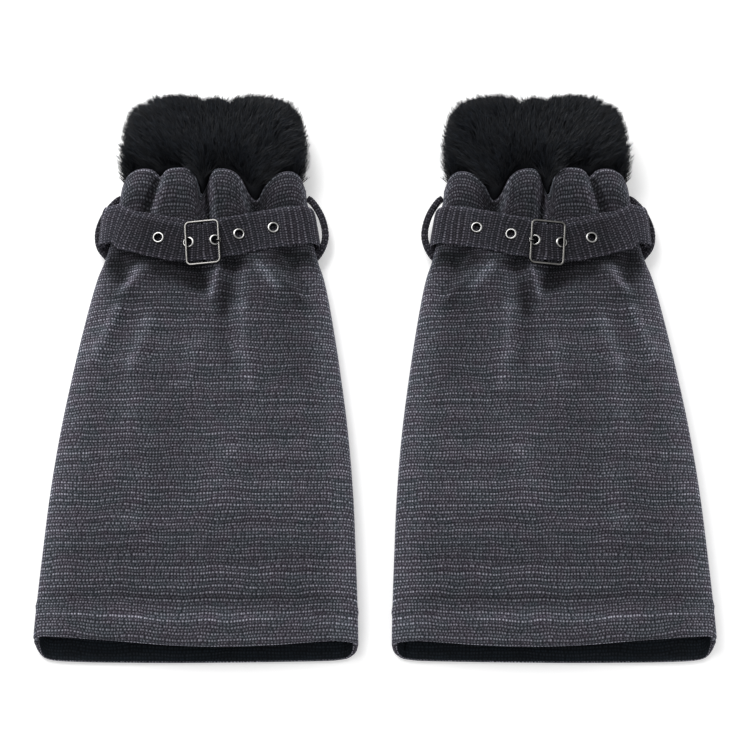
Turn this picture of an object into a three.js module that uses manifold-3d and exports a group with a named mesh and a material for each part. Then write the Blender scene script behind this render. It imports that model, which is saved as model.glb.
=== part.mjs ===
// A pair of flared leg warmers lying flat, hems towards -Y: gathered knit tubes with a fur cuff,
// a belt of the same cloth through two side loops, a metal pin buckle and five eyelets.
// Millimetres, +Z up, resting on Z = 0. The left one is built; the right one is its mirror image.
import * as THREE from 'three';
import { mergeVertices } from 'three/addons/utils/BufferGeometryUtils.js';
import Module from 'manifold-3d';

const wasm = await Module();
wasm.setup();

// Driving dimensions.
const legSpacing = 265; // between the two centre lines
const seamGap = 0.3;
const clothThick = 2.4;
const hemThick = 4.4; // the cloth is turned up inside
const beltThick = 2.2;
const beltGap = 0.4;
const beltWidth = 32;
const rollRadius = 6; // of the gathered top edge, where it turns in to the cuff
const loopRadius = 2.1;

const cloth = new THREE.MeshStandardMaterial({ color: 0x4a4b53, roughness: 0.95, metalness: 0 });
const beltCloth = new THREE.MeshStandardMaterial({ color: 0x505058, roughness: 0.95, metalness: 0 });
const furCloth = new THREE.MeshStandardMaterial({ color: 0x14171b, roughness: 0.9, metalness: 0 });
const metal = new THREE.MeshStandardMaterial({ color: 0xc9c6bd, roughness: 0.25, metalness: 1 });

// The tube's section at stations along Y: the upper half is a flattened arch between the two side
// seams, squarer with a higher power; the lower half is flat with round sides.
const tubeSections = [
  { y: -226, halfWidth: 120.3, seam: 9, crown: 21.2, power: 5 },
  { y: -200, halfWidth: 119.9, seam: 9.5, crown: 22.5, power: 5 },
  { y: -150, halfWidth: 118.1, seam: 10, crown: 24, power: 4.6 },
  { y: -100, halfWidth: 115.7, seam: 10, crown: 25, power: 4.4 },
  { y: -50, halfWidth: 111.3, seam: 10, crown: 25.5, power: 4.2 },
  { y: 0, halfWidth: 104.8, seam: 10, crown: 26, power: 4 },
  { y: 40, halfWidth: 98.6, seam: 10, crown: 26.8, power: 3.6 },
  { y: 66, halfWidth: 93.9, seam: 10, crown: 27.8, power: 3.4 },
  { y: 80, halfWidth: 90.6, seam: 10.5, crown: 28.2, power: 3.2 },
  { y: 90, halfWidth: 87.2, seam: 11, crown: 28.9, power: 3 },
  { y: 104, halfWidth: 83.6, seam: 11.2, crown: 30.5, power: 3 },
  { y: 120, halfWidth: 81.3, seam: 11.8, crown: 32.4, power: 3 },
  { y: 135, halfWidth: 79, seam: 12.6, crown: 34.6, power: 3 },
  { y: 145, halfWidth: 76.8, seam: 13.6, crown: 38.4, power: 3.1 },
  { y: 156, halfWidth: 75.6, seam: 14, crown: 40.8, power: 3.2 },
  { y: 166, halfWidth: 75.6, seam: 14, crown: 41, power: 3.2 },
];
// The underside steps up over the belt's back stretch, which lies on the surface itself.
const backSeat = { start: 82, full: 101, fade: 138, end: 155, height: beltThick + beltGap };

// Soft folds of the front, each a line on the cloth: a positive rise is a ridge, a negative one a
// valley. The pleats above the belt run on below it.
const frontFolds = [
  { name: 'pleat left', x0: -42, y0: 160, x1: -51, y1: 128, width: 6, rise: -7 },
  { name: 'pleat middle', x0: -5, y0: 160, x1: -2, y1: 124, width: 5.5, rise: -10 },
  { name: 'pleat right', x0: 33, y0: 160, x1: 38, y1: 128, width: 9, rise: -10 },
  { name: 'hollow under belt left', x0: -75, y0: 94, x1: -69, y1: 74, width: 9, rise: -5.5 },
  { name: 'hollow under buckle', x0: -14, y0: 88, x1: -9, y1: 68, width: 12, rise: -5 },
  { name: 'hollow beside buckle', x0: 21, y0: 86, x1: 24, y1: 52, width: 6.5, rise: -4.5 },
  { name: 'hollow under belt right', x0: 64, y0: 96, x1: 79, y1: 66, width: 9, rise: -5.5 },
  { name: 'ridge left, upper', x0: -50, y0: 78, x1: -68, y1: 60, width: 6, rise: 3 },
  { name: 'ridge left, lower', x0: -70, y0: 46, x1: -88, y1: 4, width: 7, rise: 3 },
  { name: 'ridge under buckle', x0: 7, y0: 76, x1: 7, y1: 56, width: 5, rise: 2.5 },
  { name: 'ridge right', x0: 37, y0: 78, x1: 53, y1: 66, width: 6.5, rise: 3 },
  { name: 'ridge right, lower', x0: 29, y0: 48, x1: 33, y1: 6, width: 8, rise: 2 },
  { name: 'ridge middle', x0: -8, y0: 16, x1: -16, y1: -20, width: 8, rise: 1.8 },
  { name: 'ridge left of middle', x0: -47, y0: 40, x1: -60, y1: -2, width: 8, rise: 1.8 },
  { name: 'swell right', x0: 20, y0: -60, x1: 16, y1: -110, width: 16, rise: 1.6 },
  { name: 'swell left', x0: -57, y0: -80, x1: -57, y1: -140, width: 14, rise: 1.6 },
  { name: 'dip middle', x0: -20, y0: -50, x1: -26, y1: -160, width: 18, rise: -1.6 },
];
const beltClear = { none: 17.5, full: 26 }; // distance from the belt's middle where ridges may rise

// Where the front's gathered top edge, its hem and the back's hem lie, seen from above.
const frontTopEdge = [
  { x: -76, y: 149 }, { x: -68, y: 155 }, { x: -58, y: 160.5 }, { x: -49, y: 159 },
  { x: -42, y: 156 }, { x: -36, y: 159 }, { x: -24, y: 161.5 }, { x: -13, y: 158 },
  { x: -5, y: 151 }, { x: 1, y: 158 }, { x: 8, y: 161.5 }, { x: 16, y: 160.5 },
  { x: 24, y: 156 }, { x: 32, y: 149 }, { x: 42, y: 149 }, { x: 51, y: 154 },
  { x: 60, y: 158 }, { x: 68, y: 157 }, { x: 76, y: 151 },
];
const frontHemEdge = [
  { x: -121, y: -213 }, { x: -115, y: -211 }, { x: -106, y: -211.4 }, { x: -62, y: -214.5 },
  { x: -20, y: -217.8 }, { x: 22, y: -219 }, { x: 60, y: -217.6 }, { x: 100, y: -214.6 },
  { x: 112, y: -214.9 }, { x: 121, y: -216 },
];
const backHemEdge = [
  { x: -120.3, y: -213 }, { x: -117, y: -219.5 }, { x: -111, y: -224.5 }, { x: -100, y: -226 },
  { x: 100, y: -226 }, { x: 111, y: -225 }, { x: 117, y: -221 }, { x: 120.3, y: -216 },
];
const backTopY = 157;

// The belt's middle line on the front. The two tables of heights give the upper face of a strap
// above the cloth, by distance u from the buckle's bar: the long strap lies over the end that
// is folded round the bar, climbs over the bar, and passes under both sides of the frame.
const beltLine = [
  { x: -100, y: 120.5 }, { x: -85, y: 119 }, { x: -74, y: 114.8 }, { x: -52, y: 107.2 },
  { x: -33, y: 102.4 }, { x: -20, y: 99.8 }, { x: -5, y: 99 }, { x: 5, y: 100.6 },
  { x: 10, y: 102.6 }, { x: 20, y: 106.4 }, { x: 33, y: 110.2 }, { x: 52, y: 114.5 },
  { x: 66, y: 117.5 }, { x: 82, y: 120 }, { x: 100, y: 120.5 },
];
const onTop = 2 * (beltThick + beltGap);
const longStrapHeights = [
  { u: -95, face: onTop }, { u: -30, face: onTop }, { u: -18, face: onTop }, { u: -13, face: 5.7 },
  { u: -9, face: 6.6 }, { u: -5, face: 7.8 }, { u: -2, face: 8.8 }, { u: 0, face: 9.1 },
  { u: 2, face: 9.05 }, { u: 5, face: 8.6 }, { u: 10, face: 7.8 }, { u: 13, face: 7.3 },
  { u: 17, face: 6.5 }, { u: 22, face: 5.3 }, { u: 27, face: 4.2 }, { u: 32, face: 3.3 },
  { u: 37, face: 2.8 }, { u: 42, face: beltThick + beltGap }, { u: 95, face: beltThick + beltGap },
];
const endStrapHeights = [
  { u: -95, face: beltThick + beltGap }, { u: -16, face: beltThick + beltGap }, { u: -11, face: 2.9 },
  { u: -7.5, face: 3.8 }, { u: -4.5, face: 5 },
];
const endStrapShift = [
  { x: -80, up: 0 }, { x: -70, up: 2 }, { x: -52, up: 3.8 }, { x: -31, up: 4.6 }, { x: -17, up: 3.2 },
  { x: -9, up: 0.8 },
];
const squeezed = { width: 29.6, inside: 15, outside: 24 }; // the long strap within the frame
const wrapWidth = 27;
const wrapThick = 1.5;
const eyeletX = [-40.5, -16.4, 5.2, 23.6, 50.6];
const eyelet = { flangeRadius: 5.2, holeRadius: 2.8, barrelRadius: 3.35, flange: 0.55, lift: 0.38, sides: 12 };

// The buckle: a rounded frame, its right side tipped up, and a middle bar that is set lower.
const buckle = { x: -4.8, y: 98.9, turn: 4.5, tip: 4, width: 28.4, height: 37.4, corner: 3.4 };
const frameWire = { width: 2.3, depth: 2.4, height: 9.5 };
const bar = { radius: 0.9, height: 3.8, halfLength: 15.4 };
const pin = { radius: 0.65, eyeRadius: 1.85, slot: 2 };

// The cuff: outer sections, then the flat passage for the leg inside it, back to the start. The
// pile of the fur is counted in. Upper points follow the gathered edge as far as follow says.
const cuffSections = [
  { y: 148, halfWidth: 62, low: 4.2, high: 19, follow: 1 },
  { y: 154, halfWidth: 64, low: 2.8, high: 19, follow: 1 },
  { y: 161.4, halfWidth: 68, low: 2.8, high: 20, follow: 1 },
  { y: 162.3, halfWidth: 71.5, low: 0.6, high: 36, follow: 1 },
  { y: 165, halfWidth: 75, low: 0, high: 41.5, follow: 0.95 },
  { y: 171, halfWidth: 77, low: 0, high: 46.5, follow: 0.8 },
  { y: 181, halfWidth: 77.7, low: 0, high: 49.3, follow: 0.4 },
  { y: 194, halfWidth: 77, low: 0, high: 50, follow: 0 },
  { y: 207, halfWidth: 75, low: 0, high: 49, follow: 0 },
  { y: 219, halfWidth: 70.5, low: 0, high: 46.5, follow: 0 },
  { y: 230, halfWidth: 63, low: 3, high: 42, follow: 0 },
  { y: 238.5, halfWidth: 54, low: 10, high: 36, follow: 0 },
  { y: 238.5, halfWidth: 46, low: 18.5, high: 28, follow: 0 },
  { y: 200, halfWidth: 46, low: 17.5, high: 27.5, follow: 0 },
  { y: 172, halfWidth: 46, low: 14.5, high: 24, follow: 0 },
  { y: 148, halfWidth: 46, low: 7, high: 15.8, follow: 0 },
];
const cuffPower = 3.6;
const cuffEdgeFrom = 160; // the gathered edge that the cuff's sections are set out from
const cuffTopDip = [
  { x: -80, dip: 0 }, { x: -24, dip: 0 }, { x: -12, dip: -6 }, { x: -4, dip: -3.5 }, { x: 7, dip: -5.5 },
  { x: 18, dip: -1 }, { x: 80, dip: -1 },
];

// The two belt loops: cords that stand off from the sides, in distance out from the cloth.
const loopPath = [
  { y: 150, out: 0, up: 13.8 }, { y: 146.5, out: 2.6, up: 13.8 }, { y: 139, out: 7.2, up: 13.4 },
  { y: 130, out: 9.4, up: 13 }, { y: 120, out: 9.8, up: 12.6 }, { y: 110, out: 7.8, up: 12.2 },
  { y: 101, out: 4, up: 11.8 }, { y: 96, out: 1.2, up: 11.5 }, { y: 92, out: 0, up: 11.2 },
];

const toRadians = THREE.MathUtils.degToRad;

// Smooth interpolation of one column of a table, sorted by its key column.
function along(table, key, at, column) {
  const last = table.length - 1;
  const t = Math.min(Math.max(at, table[0][key]), table[last][key]);
  let i = 0;
  while (i < last - 1 && t > table[i + 1][key]) i += 1;
  const [a, b] = [table[i], table[i + 1]];
  const slope = (j) => {
    const [p, q] = [table[Math.max(j - 1, 0)], table[Math.min(j + 1, last)]];
    return (q[column] - p[column]) / (q[key] - p[key]);
  };
  const span = b[key] - a[key];
  const u = (t - a[key]) / span;
  const [u2, u3] = [u * u, u * u * u];
  return (2 * u3 - 3 * u2 + 1) * a[column] + (u3 - 2 * u2 + u) * span * slope(i)
    + (3 * u2 - 2 * u3) * b[column] + (u3 - u2) * span * slope(i + 1);
}

const { smoothstep } = THREE.MathUtils;

function section(y) {
  const found = { y };
  ['halfWidth', 'seam', 'crown', 'power'].forEach((column) => {
    found[column] = along(tubeSections, 'y', y, column);
  });
  found.underside = backSeat.height
    * (smoothstep(y, backSeat.start, backSeat.full) - smoothstep(y, backSeat.fade, backSeat.end));
  return found;
}

// A point of the tube's upper half. The angle runs from the right seam, 0, over the top to the
// left seam, PI; lift is the distance out from the cloth's outer face.
function upperPoint(y, angle, lift) {
  const s = section(y);
  const [c, d] = [Math.cos(angle), Math.sin(angle)];
  const reach = (Math.abs(c) ** s.power + Math.abs(d) ** s.power) ** (1 / s.power);
  const [fx, fz] = [c / reach, d / reach];
  const rise = s.crown - s.seam;
  const normal = new THREE.Vector2(
    (Math.sign(fx) * Math.abs(fx) ** (s.power - 1)) / s.halfWidth,
    Math.abs(fz) ** (s.power - 1) / rise,
  ).normalize();
  return new THREE.Vector3(
    fx * s.halfWidth + normal.x * lift,
    y,
    s.seam + fz * rise + normal.y * lift,
  );
}

// The angle at which the upper half has a given share of its half width.
function angleAt(share, power) {
  const f = Math.min(Math.abs(share), 0.999);
  return Math.atan2((1 - f ** power) ** (1 / power), Math.sign(share) * f);
}

// A point of the lower half: degrees run from a seam, 0, round the side to 90, where the flat
// underside begins; inward is the share of the way from there to the centre line.
function lowerPoint(y, side, degrees, inward, lift) {
  const s = section(y);
  const radius = s.seam - s.underside;
  const a = toRadians(degrees);
  const centre = s.halfWidth - radius;
  return new THREE.Vector3(
    side * (centre * (1 - inward) + (radius + lift) * Math.cos(a)),
    y,
    s.seam - (radius + lift) * Math.sin(a),
  );
}

// Stations round the lower half, from the left seam to the right one.
const lowerArc = [0, 25, 50, 72, 90];
const lowerInward = [0.35, 0.7];
const lowerStations = [
  ...lowerArc.map((degrees) => [-1, degrees, 0]),
  ...lowerInward.map((inward) => [-1, 90, inward]),
  [1, 90, 1],
  ...lowerInward.map((inward) => [1, 90, inward]).reverse(),
  ...lowerArc.map((degrees) => [1, degrees, 0]).reverse(),
];

function foldRise(x, y) {
  const fromBelt = Math.abs(y - along(beltLine, 'x', x, 'y'));
  const clear = smoothstep(fromBelt, beltClear.none, beltClear.full);
  let rise = 0;
  frontFolds.forEach((f) => {
    const [dx, dy] = [f.x1 - f.x0, f.y1 - f.y0];
    const t = Math.min(Math.max(((x - f.x0) * dx + (y - f.y0) * dy) / (dx * dx + dy * dy), 0), 1);
    const away = Math.hypot(x - f.x0 - t * dx, y - f.y0 - t * dy);
    rise += f.rise * (f.rise > 0 ? clear : 1) * Math.exp(-((away / f.width) ** 2));
  });
  return rise;
}

function geometryOf(points, triangles) {
  const g = new THREE.BufferGeometry();
  g.setAttribute('position', new THREE.Float32BufferAttribute(points.flatMap((p) => p.toArray()), 3));
  g.setIndex(triangles.flat());
  g.computeVertexNormals();
  return g;
}

// A closed wall from a grid of outer points: rows x columns points outwards. thick(i, j) is the
// wall's thickness; with level ends, the end columns go inwards without rising or falling.
function wallOf(rows, thick, levelEnds) {
  const [n, m] = [rows.length, rows[0].length];
  const inner = rows.flatMap((row, i) => row.map((p, j) => {
    const before = [rows[Math.max(i - 1, 0)][j], row[Math.max(j - 1, 0)]];
    const after = [rows[Math.min(i + 1, n - 1)][j], row[Math.min(j + 1, m - 1)]];
    const [across, down] = after.map((q, k) => q.clone().sub(before[k]));
    const normal = across.cross(down);
    if (levelEnds && (j === 0 || j === m - 1)) normal.setZ(0);
    return p.clone().addScaledVector(normal.normalize(), -thick(i, j));
  }));
  const triangles = [];
  const quad = (a, b, c, d) => triangles.push([a, b, c], [a, c, d]);
  const at = (i, j) => i * m + j;
  const total = n * m;
  for (let i = 0; i < n - 1; i += 1) {
    for (let j = 0; j < m - 1; j += 1) {
      quad(at(i, j), at(i + 1, j), at(i + 1, j + 1), at(i, j + 1));
      quad(total + at(i, j), total + at(i, j + 1), total + at(i + 1, j + 1), total + at(i + 1, j));
    }
  }
  for (let j = 0; j < m - 1; j += 1) {
    quad(at(0, j), at(0, j + 1), total + at(0, j + 1), total + at(0, j));
    quad(at(n - 1, j + 1), at(n - 1, j), total + at(n - 1, j), total + at(n - 1, j + 1));
  }
  for (let i = 0; i < n - 1; i += 1) {
    quad(at(i + 1, 0), at(i, 0), total + at(i, 0), total + at(i + 1, 0));
    quad(at(i, m - 1), at(i + 1, m - 1), total + at(i + 1, m - 1), total + at(i, m - 1));
  }
  return geometryOf([...rows.flat(), ...inner], triangles);
}

// A solid swept along sections that are closed loops of points, joined end to end or capped.
function sweepOf(loops, joined) {
  const [n, m] = [loops.length, loops[0].length];
  const points = loops.flat();
  const triangles = [];
  const spans = joined ? n : n - 1;
  for (let i = 0; i < spans; i += 1) {
    for (let j = 0; j < m; j += 1) {
      const [a, b] = [i * m + j, i * m + ((j + 1) % m)];
      const [c, d] = [((i + 1) % n) * m + ((j + 1) % m), ((i + 1) % n) * m + j];
      triangles.push([a, c, b], [a, d, c]);
    }
  }
  if (!joined) {
    const middle = (loop) => loop.reduce((sum, p) => sum.add(p), new THREE.Vector3()).divideScalar(m);
    points.push(middle(loops[0]), middle(loops[n - 1]));
    for (let j = 0; j < m; j += 1) {
      triangles.push([n * m, j, (j + 1) % m]);
      triangles.push([n * m + 1, (n - 1) * m + ((j + 1) % m), (n - 1) * m + j]);
    }
  }
  return geometryOf(points, triangles);
}

// Sections across a path of points: an ellipse, its width level with the given up direction.
function tubeLoops(path, up, halfWidth, halfDepth, sides, joined) {
  const n = path.length;
  return path.map((p, i) => {
    const next = joined ? path[(i + 1) % n] : path[Math.min(i + 1, n - 1)];
    const last = joined ? path[(i + n - 1) % n] : path[Math.max(i - 1, 0)];
    const ahead = next.clone().sub(last).normalize();
    const across = ahead.clone().cross(up).normalize();
    const above = across.clone().cross(ahead);
    return Array.from({ length: sides }, (_, k) => {
      const a = (2 * Math.PI * (k + 0.5)) / sides;
      return p.clone()
        .addScaledVector(across, halfWidth * Math.cos(a))
        .addScaledVector(above, halfDepth * Math.sin(a));
    });
  });
}

function solidFrom(geometry) {
  const bare = geometry.clone();
  bare.deleteAttribute('normal');
  bare.deleteAttribute('uv');
  const merged = mergeVertices(bare, 1e-4);
  return new wasm.Manifold(new wasm.Mesh({
    numProp: 3,
    vertProperties: new Float32Array(merged.attributes.position.array),
    triVerts: new Uint32Array(merged.index.array),
  }));
}

function geometryFrom(solid) {
  const mesh = solid.getMesh();
  const g = new THREE.BufferGeometry();
  g.setAttribute('position', new THREE.BufferAttribute(new Float32Array(mesh.vertProperties), 3));
  g.setIndex(new THREE.BufferAttribute(new Uint32Array(mesh.triVerts), 1));
  g.computeVertexNormals();
  return g;
}

// Front panel: from the right seam over the top to the left seam, hem to gathered top edge.
const sideAngles = [0, 17, 34].map(toRadians);
const frontShares = [0.88, 0.77, 0.66, 0.57, 0.5, 0.43, 0.36, 0.28, 0.19, 0.1, 0.03, -0.03, -0.08,
  -0.15, -0.24, -0.34, -0.45, -0.53, -0.6, -0.67, -0.77, -0.88];
const frontColumns = [
  ...sideAngles.map((angle) => () => angle),
  ...frontShares.map((share) => (power) => angleAt(share, power)),
  ...sideAngles.map((angle) => () => Math.PI - angle).reverse(),
];
const frontStations = [-196, -193, -165, -135, -105, -76, -50, -26, -5, 14, 30, 44, 56, 67, 76, 85, 96,
  110, 125, 135, 140.5];
const rollAngles = [0, 45, 90].map(toRadians);
const seamHeight = (y) => section(y).seam + seamGap / 2;
const frontX = (y, column) => upperPoint(y, column(section(y).power), 0).x;

function frontPoint(y, column, drop) {
  const { power, halfWidth } = section(y);
  const angle = column(power);
  const x = upperPoint(y, angle, 0).x;
  const fade = 1 - Math.abs(x / halfWidth) ** 8;
  const p = upperPoint(y, angle, foldRise(x, y) * fade - drop);
  if (angle === 0 || angle === Math.PI) p.z = seamHeight(y);
  return p;
}

function frontPanel() {
  const hemY = -215;
  const hemRow = frontColumns.map((column) => (
    frontPoint(along(frontHemEdge, 'x', frontX(hemY, column), 'y'), column, 0)));
  const rows = frontStations.map((y) => frontColumns.map((column) => frontPoint(y, column, 0)));
  const rollRows = rollAngles.map((roll) => frontColumns.map((column) => {
    const start = along(frontTopEdge, 'x', frontX(152, column), 'y') - rollRadius;
    const p = frontPoint(start, column, rollRadius * (1 - Math.cos(roll)));
    p.y = start + rollRadius * Math.sin(roll);
    if (column === frontColumns[0] || column === frontColumns.at(-1)) p.z = seamHeight(p.y);
    return p;
  }));
  const hemRows = 2;
  return wallOf([hemRow, ...rows, ...rollRows], (i) => (i < hemRows ? hemThick : clothThick), true);
}

// Back panel: from the left seam round the side, across the flat underside, to the right seam.
const backStations = [-201, -198, -150, -100, -50, 0, 45, 67, 85, 93, 101, 120, 138, 146, 155, backTopY];

function backPanel() {
  const row = (yAt) => lowerStations.map(([side, degrees, inward]) => {
    const p = lowerPoint(yAt(lowerPoint(-215, side, degrees, inward, 0).x), side, degrees, inward, 0);
    if (degrees === 0) p.z -= seamGap / 2;
    return p;
  });
  const hemRow = row((x) => along(backHemEdge, 'x', x, 'y'));
  const hemRows = 2;
  return wallOf(
    [hemRow, ...backStations.map((y) => row(() => y))],
    (i) => (i < hemRows ? hemThick : clothThick),
    true,
  );
}

// Fur cuff: a thick ring, its lower end tucked inside the tube, flat where it rests.
function cuff() {
  const upperShares = Array.from({ length: 31 }, (_, k) => 0.97 - (1.94 * k) / 30);
  const lowerShares = [-0.93, -0.75, -0.45, -0.15, 0.15, 0.45, 0.75, 0.93];
  const loops = cuffSections.map((s) => {
    const [middle, half] = [(s.high + s.low) / 2, (s.high - s.low) / 2];
    const place = (share, way) => {
      const x = share * s.halfWidth;
      const edge = along(frontTopEdge, 'x', x, 'y') - cuffEdgeFrom;
      const dip = along(cuffTopDip, 'x', x, 'dip') * smoothstep(s.y, 215, 238);
      const z = middle + way * half * (1 - Math.abs(share) ** cuffPower) ** (1 / cuffPower);
      return new THREE.Vector3(x, s.y + dip + (way > 0 ? edge * s.follow : 0), Math.max(0, z));
    };
    return [
      ...upperShares.map((share) => place(share, 1)), new THREE.Vector3(-s.halfWidth, s.y, middle),
      ...lowerShares.map((share) => place(share, -1)), new THREE.Vector3(s.halfWidth, s.y, middle),
    ];
  });
  return sweepOf(loops, true);
}

// The buckle's own axes: u along the belt, v across it, h out from the cloth.
const buckleTurn = toRadians(buckle.turn);
const buckleSection = section(buckle.y);
const buckleAngle = angleAt(buckle.x / buckleSection.halfWidth, buckleSection.power);
const buckleOrigin = upperPoint(buckle.y, buckleAngle, 0);
const uphill = upperPoint(buckle.y + 12, buckleAngle, 0).sub(upperPoint(buckle.y - 12, buckleAngle, 0));
const buckleOut = new THREE.Vector3(1, 0, 0).cross(uphill.setX(0)).normalize();
const buckleAlong = new THREE.Vector3(1, 0, 0).applyAxisAngle(buckleOut, buckleTurn);
const buckleAcross = buckleOut.clone().cross(buckleAlong);
const bucklePoint = (u, v, h) => buckleOrigin.clone()
  .addScaledVector(buckleAlong, u).addScaledVector(buckleAcross, v).addScaledVector(buckleOut, h);
const alongBuckle = (x, y) => (
  (x - buckle.x) * Math.cos(buckleTurn) + (y - buckle.y) * Math.sin(buckleTurn));

// A point of a strap's upper face on the front, at x on the belt's line and w across it.
function strapPoint(x, w, up, heights) {
  const step = 1;
  const rise = along(beltLine, 'x', x + step, 'y') - along(beltLine, 'x', x - step, 'y');
  const lean = Math.atan(rise / (2 * step));
  const y = along(beltLine, 'x', x, 'y') + up + w * Math.cos(lean);
  const px = x - w * Math.sin(lean);
  const { halfWidth, power } = section(y);
  return upperPoint(y, angleAt(px / halfWidth, power), along(heights, 'u', alongBuckle(px, y), 'face'));
}

const beltShares = [-0.5, -0.22, 0.22, 0.5];
const beltEndY = along(beltLine, 'x', 100, 'y');
const clothLift = beltThick + beltGap;
const sideClear = 0.25; // more room where the strap bends round the side
const sideColumn = (angle, lift) => (
  beltShares.map((s) => upperPoint(beltEndY + s * beltWidth, angle, lift + sideClear)));
const lowerColumn = ([side, degrees, inward], lift) => beltShares.map((s) => (
  lowerPoint(beltEndY + s * beltWidth, side, degrees, inward, lift + (degrees < 90 ? sideClear : 0))));

function eyeletFrame(x) {
  const centre = strapPoint(x, 0, 0, longStrapHeights);
  const span = eyelet.flangeRadius - 1.2;
  const tangent = strapPoint(x + span, 0, 0, longStrapHeights)
    .sub(strapPoint(x - span, 0, 0, longStrapHeights));
  const across = strapPoint(x, span, 0, longStrapHeights).sub(strapPoint(x, -span, 0, longStrapHeights));
  const out = tangent.clone().cross(across).normalize();
  const alongX = tangent.normalize();
  const basis = new THREE.Matrix4().makeBasis(alongX, out.clone().cross(alongX), out);
  return basis.setPosition(centre);
}

// The belt, one strip: from the buckle's bar to the left side, across the back to the right side,
// then over the front through the buckle to its tail, which ends under the left side.
function belt() {
  const arcRadius = bar.radius + seamGap + wrapThick;
  const wrapArc = [-90, -50, -10, 30, 65, 100].map(toRadians);
  const wrapColumn = (u, h) => ({
    points: beltShares.map((s) => bucklePoint(u, s * wrapWidth, h)), thick: wrapThick,
  });
  const endStations = [-9.6, -12.5, -17, -24, -33, -44, -53, -61, -67];
  const longStations = [67, 61, 54, 46, 37, 30, 24, 18, 14, 10.4, 7.8, 5.2, 2.6, 0, -2, -4, -6, -8.5, -11,
    -13.7, -16.4, -19.5, -23, -28, -34, -40.5, -47, -54, -61, -67];
  const longWidth = (x) => squeezed.width
    + (beltWidth - squeezed.width) * smoothstep(Math.abs(x - buckle.x), squeezed.inside, squeezed.outside);
  const endWidth = (x) => wrapWidth + (beltWidth - wrapWidth) * smoothstep(buckle.x - x, 4, 13);
  const plain = (points) => ({ points, thick: beltThick });
  const columns = [
    wrapColumn(-2.2, bar.height - arcRadius),
    ...wrapArc.map((a) => wrapColumn(arcRadius * Math.cos(a), bar.height + arcRadius * Math.sin(a))),
    ...endStations.map((x, i) => ({
      points: beltShares.map((s) => (
        strapPoint(x, s * endWidth(x), along(endStrapShift, 'x', x, 'up'), endStrapHeights))),
      thick: i === 0 ? wrapThick : beltThick,
    })),
    ...[...sideAngles].reverse().map((a) => plain(sideColumn(Math.PI - a, clothLift))),
    ...lowerStations.slice(1).map((station) => plain(lowerColumn(station, clothLift))),
    ...sideAngles.slice(1).map((a) => plain(sideColumn(a, clothLift))),
    ...longStations.map((x) => (
      plain(beltShares.map((s) => strapPoint(x, s * longWidth(x), 0, longStrapHeights))))),
    ...[...sideAngles].reverse().map((a) => plain(sideColumn(Math.PI - a, 2 * clothLift))),
    ...[24, 46].map((degrees) => plain(lowerColumn([-1, degrees, 0], 2 * clothLift))),
  ];
  const strip = solidFrom(wallOf(
    beltShares.map((_, i) => columns.map((column) => column.points[i])),
    (_, j) => columns[j].thick,
    false,
  ));
  const cutterHeight = 4;
  const cutterLow = beltThick + beltGap * 0.7;
  const cutters = eyeletX.map((x) => {
    const cutter = new THREE.CylinderGeometry(
      eyelet.barrelRadius + seamGap, eyelet.barrelRadius + seamGap, cutterHeight, eyelet.sides);
    cutter.rotateX(Math.PI / 2).translate(0, 0, cutterHeight / 2 - cutterLow);
    return solidFrom(cutter.applyMatrix4(eyeletFrame(x)));
  });
  const slotDepth = 6;
  const slot = new THREE.BoxGeometry(2 * arcRadius + 1.6, 2 * pin.slot, slotDepth);
  slot.translate(0.4, 0, bar.height + arcRadius + seamGap * 0.6 - slotDepth / 2);
  slot.applyMatrix4(new THREE.Matrix4().makeBasis(buckleAlong, buckleAcross, buckleOut)
    .setPosition(buckleOrigin));
  return geometryFrom([...cutters, solidFrom(slot)].reduce((solid, cut) => solid.subtract(cut), strip));
}

function beltEyelet(x) {
  const { flangeRadius, holeRadius, barrelRadius, flange, lift } = eyelet;
  const profile = [
    [holeRadius, -beltThick + 0.1], [barrelRadius, -beltThick + 0.1], [barrelRadius, lift],
    [flangeRadius, lift], [flangeRadius - 0.5, lift + flange], [holeRadius + 0.5, lift + flange],
    [holeRadius, lift + 0.2],
  ].map(([r, z]) => new THREE.Vector2(r, z));
  const loops = Array.from({ length: eyelet.sides }, (_, k) => {
    const a = (2 * Math.PI * k) / eyelet.sides;
    return profile.map((p) => new THREE.Vector3(p.x * Math.cos(a), p.x * Math.sin(a), p.y)
      .applyMatrix4(eyeletFrame(x)));
  });
  return sweepOf(loops, true);
}

// Buckle frame: a rounded rectangle of flat wire, joined to the lowered bar by its bent ends.
function buckleFrame() {
  const [halfU, halfV] = [(buckle.width - frameWire.width) / 2, (buckle.height - frameWire.width) / 2];
  const tipSlope = Math.tan(toRadians(buckle.tip));
  const path = [];
  [[1, 1], [-1, 1], [-1, -1], [1, -1]].forEach(([su, sv], corner) => {
    [0, 30, 60, 90].forEach((degrees) => {
      const a = toRadians(degrees + 90 * corner);
      const u = su * (halfU - buckle.corner) + buckle.corner * Math.cos(a);
      const v = sv * (halfV - buckle.corner) + buckle.corner * Math.sin(a);
      path.push(bucklePoint(u, v, frameWire.height + u * tipSlope));
    });
  });
  const { width, depth, height } = frameWire;
  const rim = sweepOf(tubeLoops(path, buckleOut, width / 2 / Math.cos(Math.PI / 8),
    depth / 2 / Math.cos(Math.PI / 8), 8, true), true);
  const half = [
    [bar.halfLength - 0.6, bar.height], [bar.halfLength + 0.9, bar.height + 0.5],
    [bar.halfLength + 1.9, bar.height + 2.3], [halfV, height],
  ];
  const barPath = [
    ...half.map(([v, h]) => bucklePoint(0, -v, h)).reverse(), ...half.map(([v, h]) => bucklePoint(0, v, h)),
  ];
  const middleBar = sweepOf(tubeLoops(barPath, buckleAlong, bar.radius, bar.radius, 8, false), false);
  return geometryFrom(solidFrom(rim).add(solidFrom(middleBar)));
}

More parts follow.
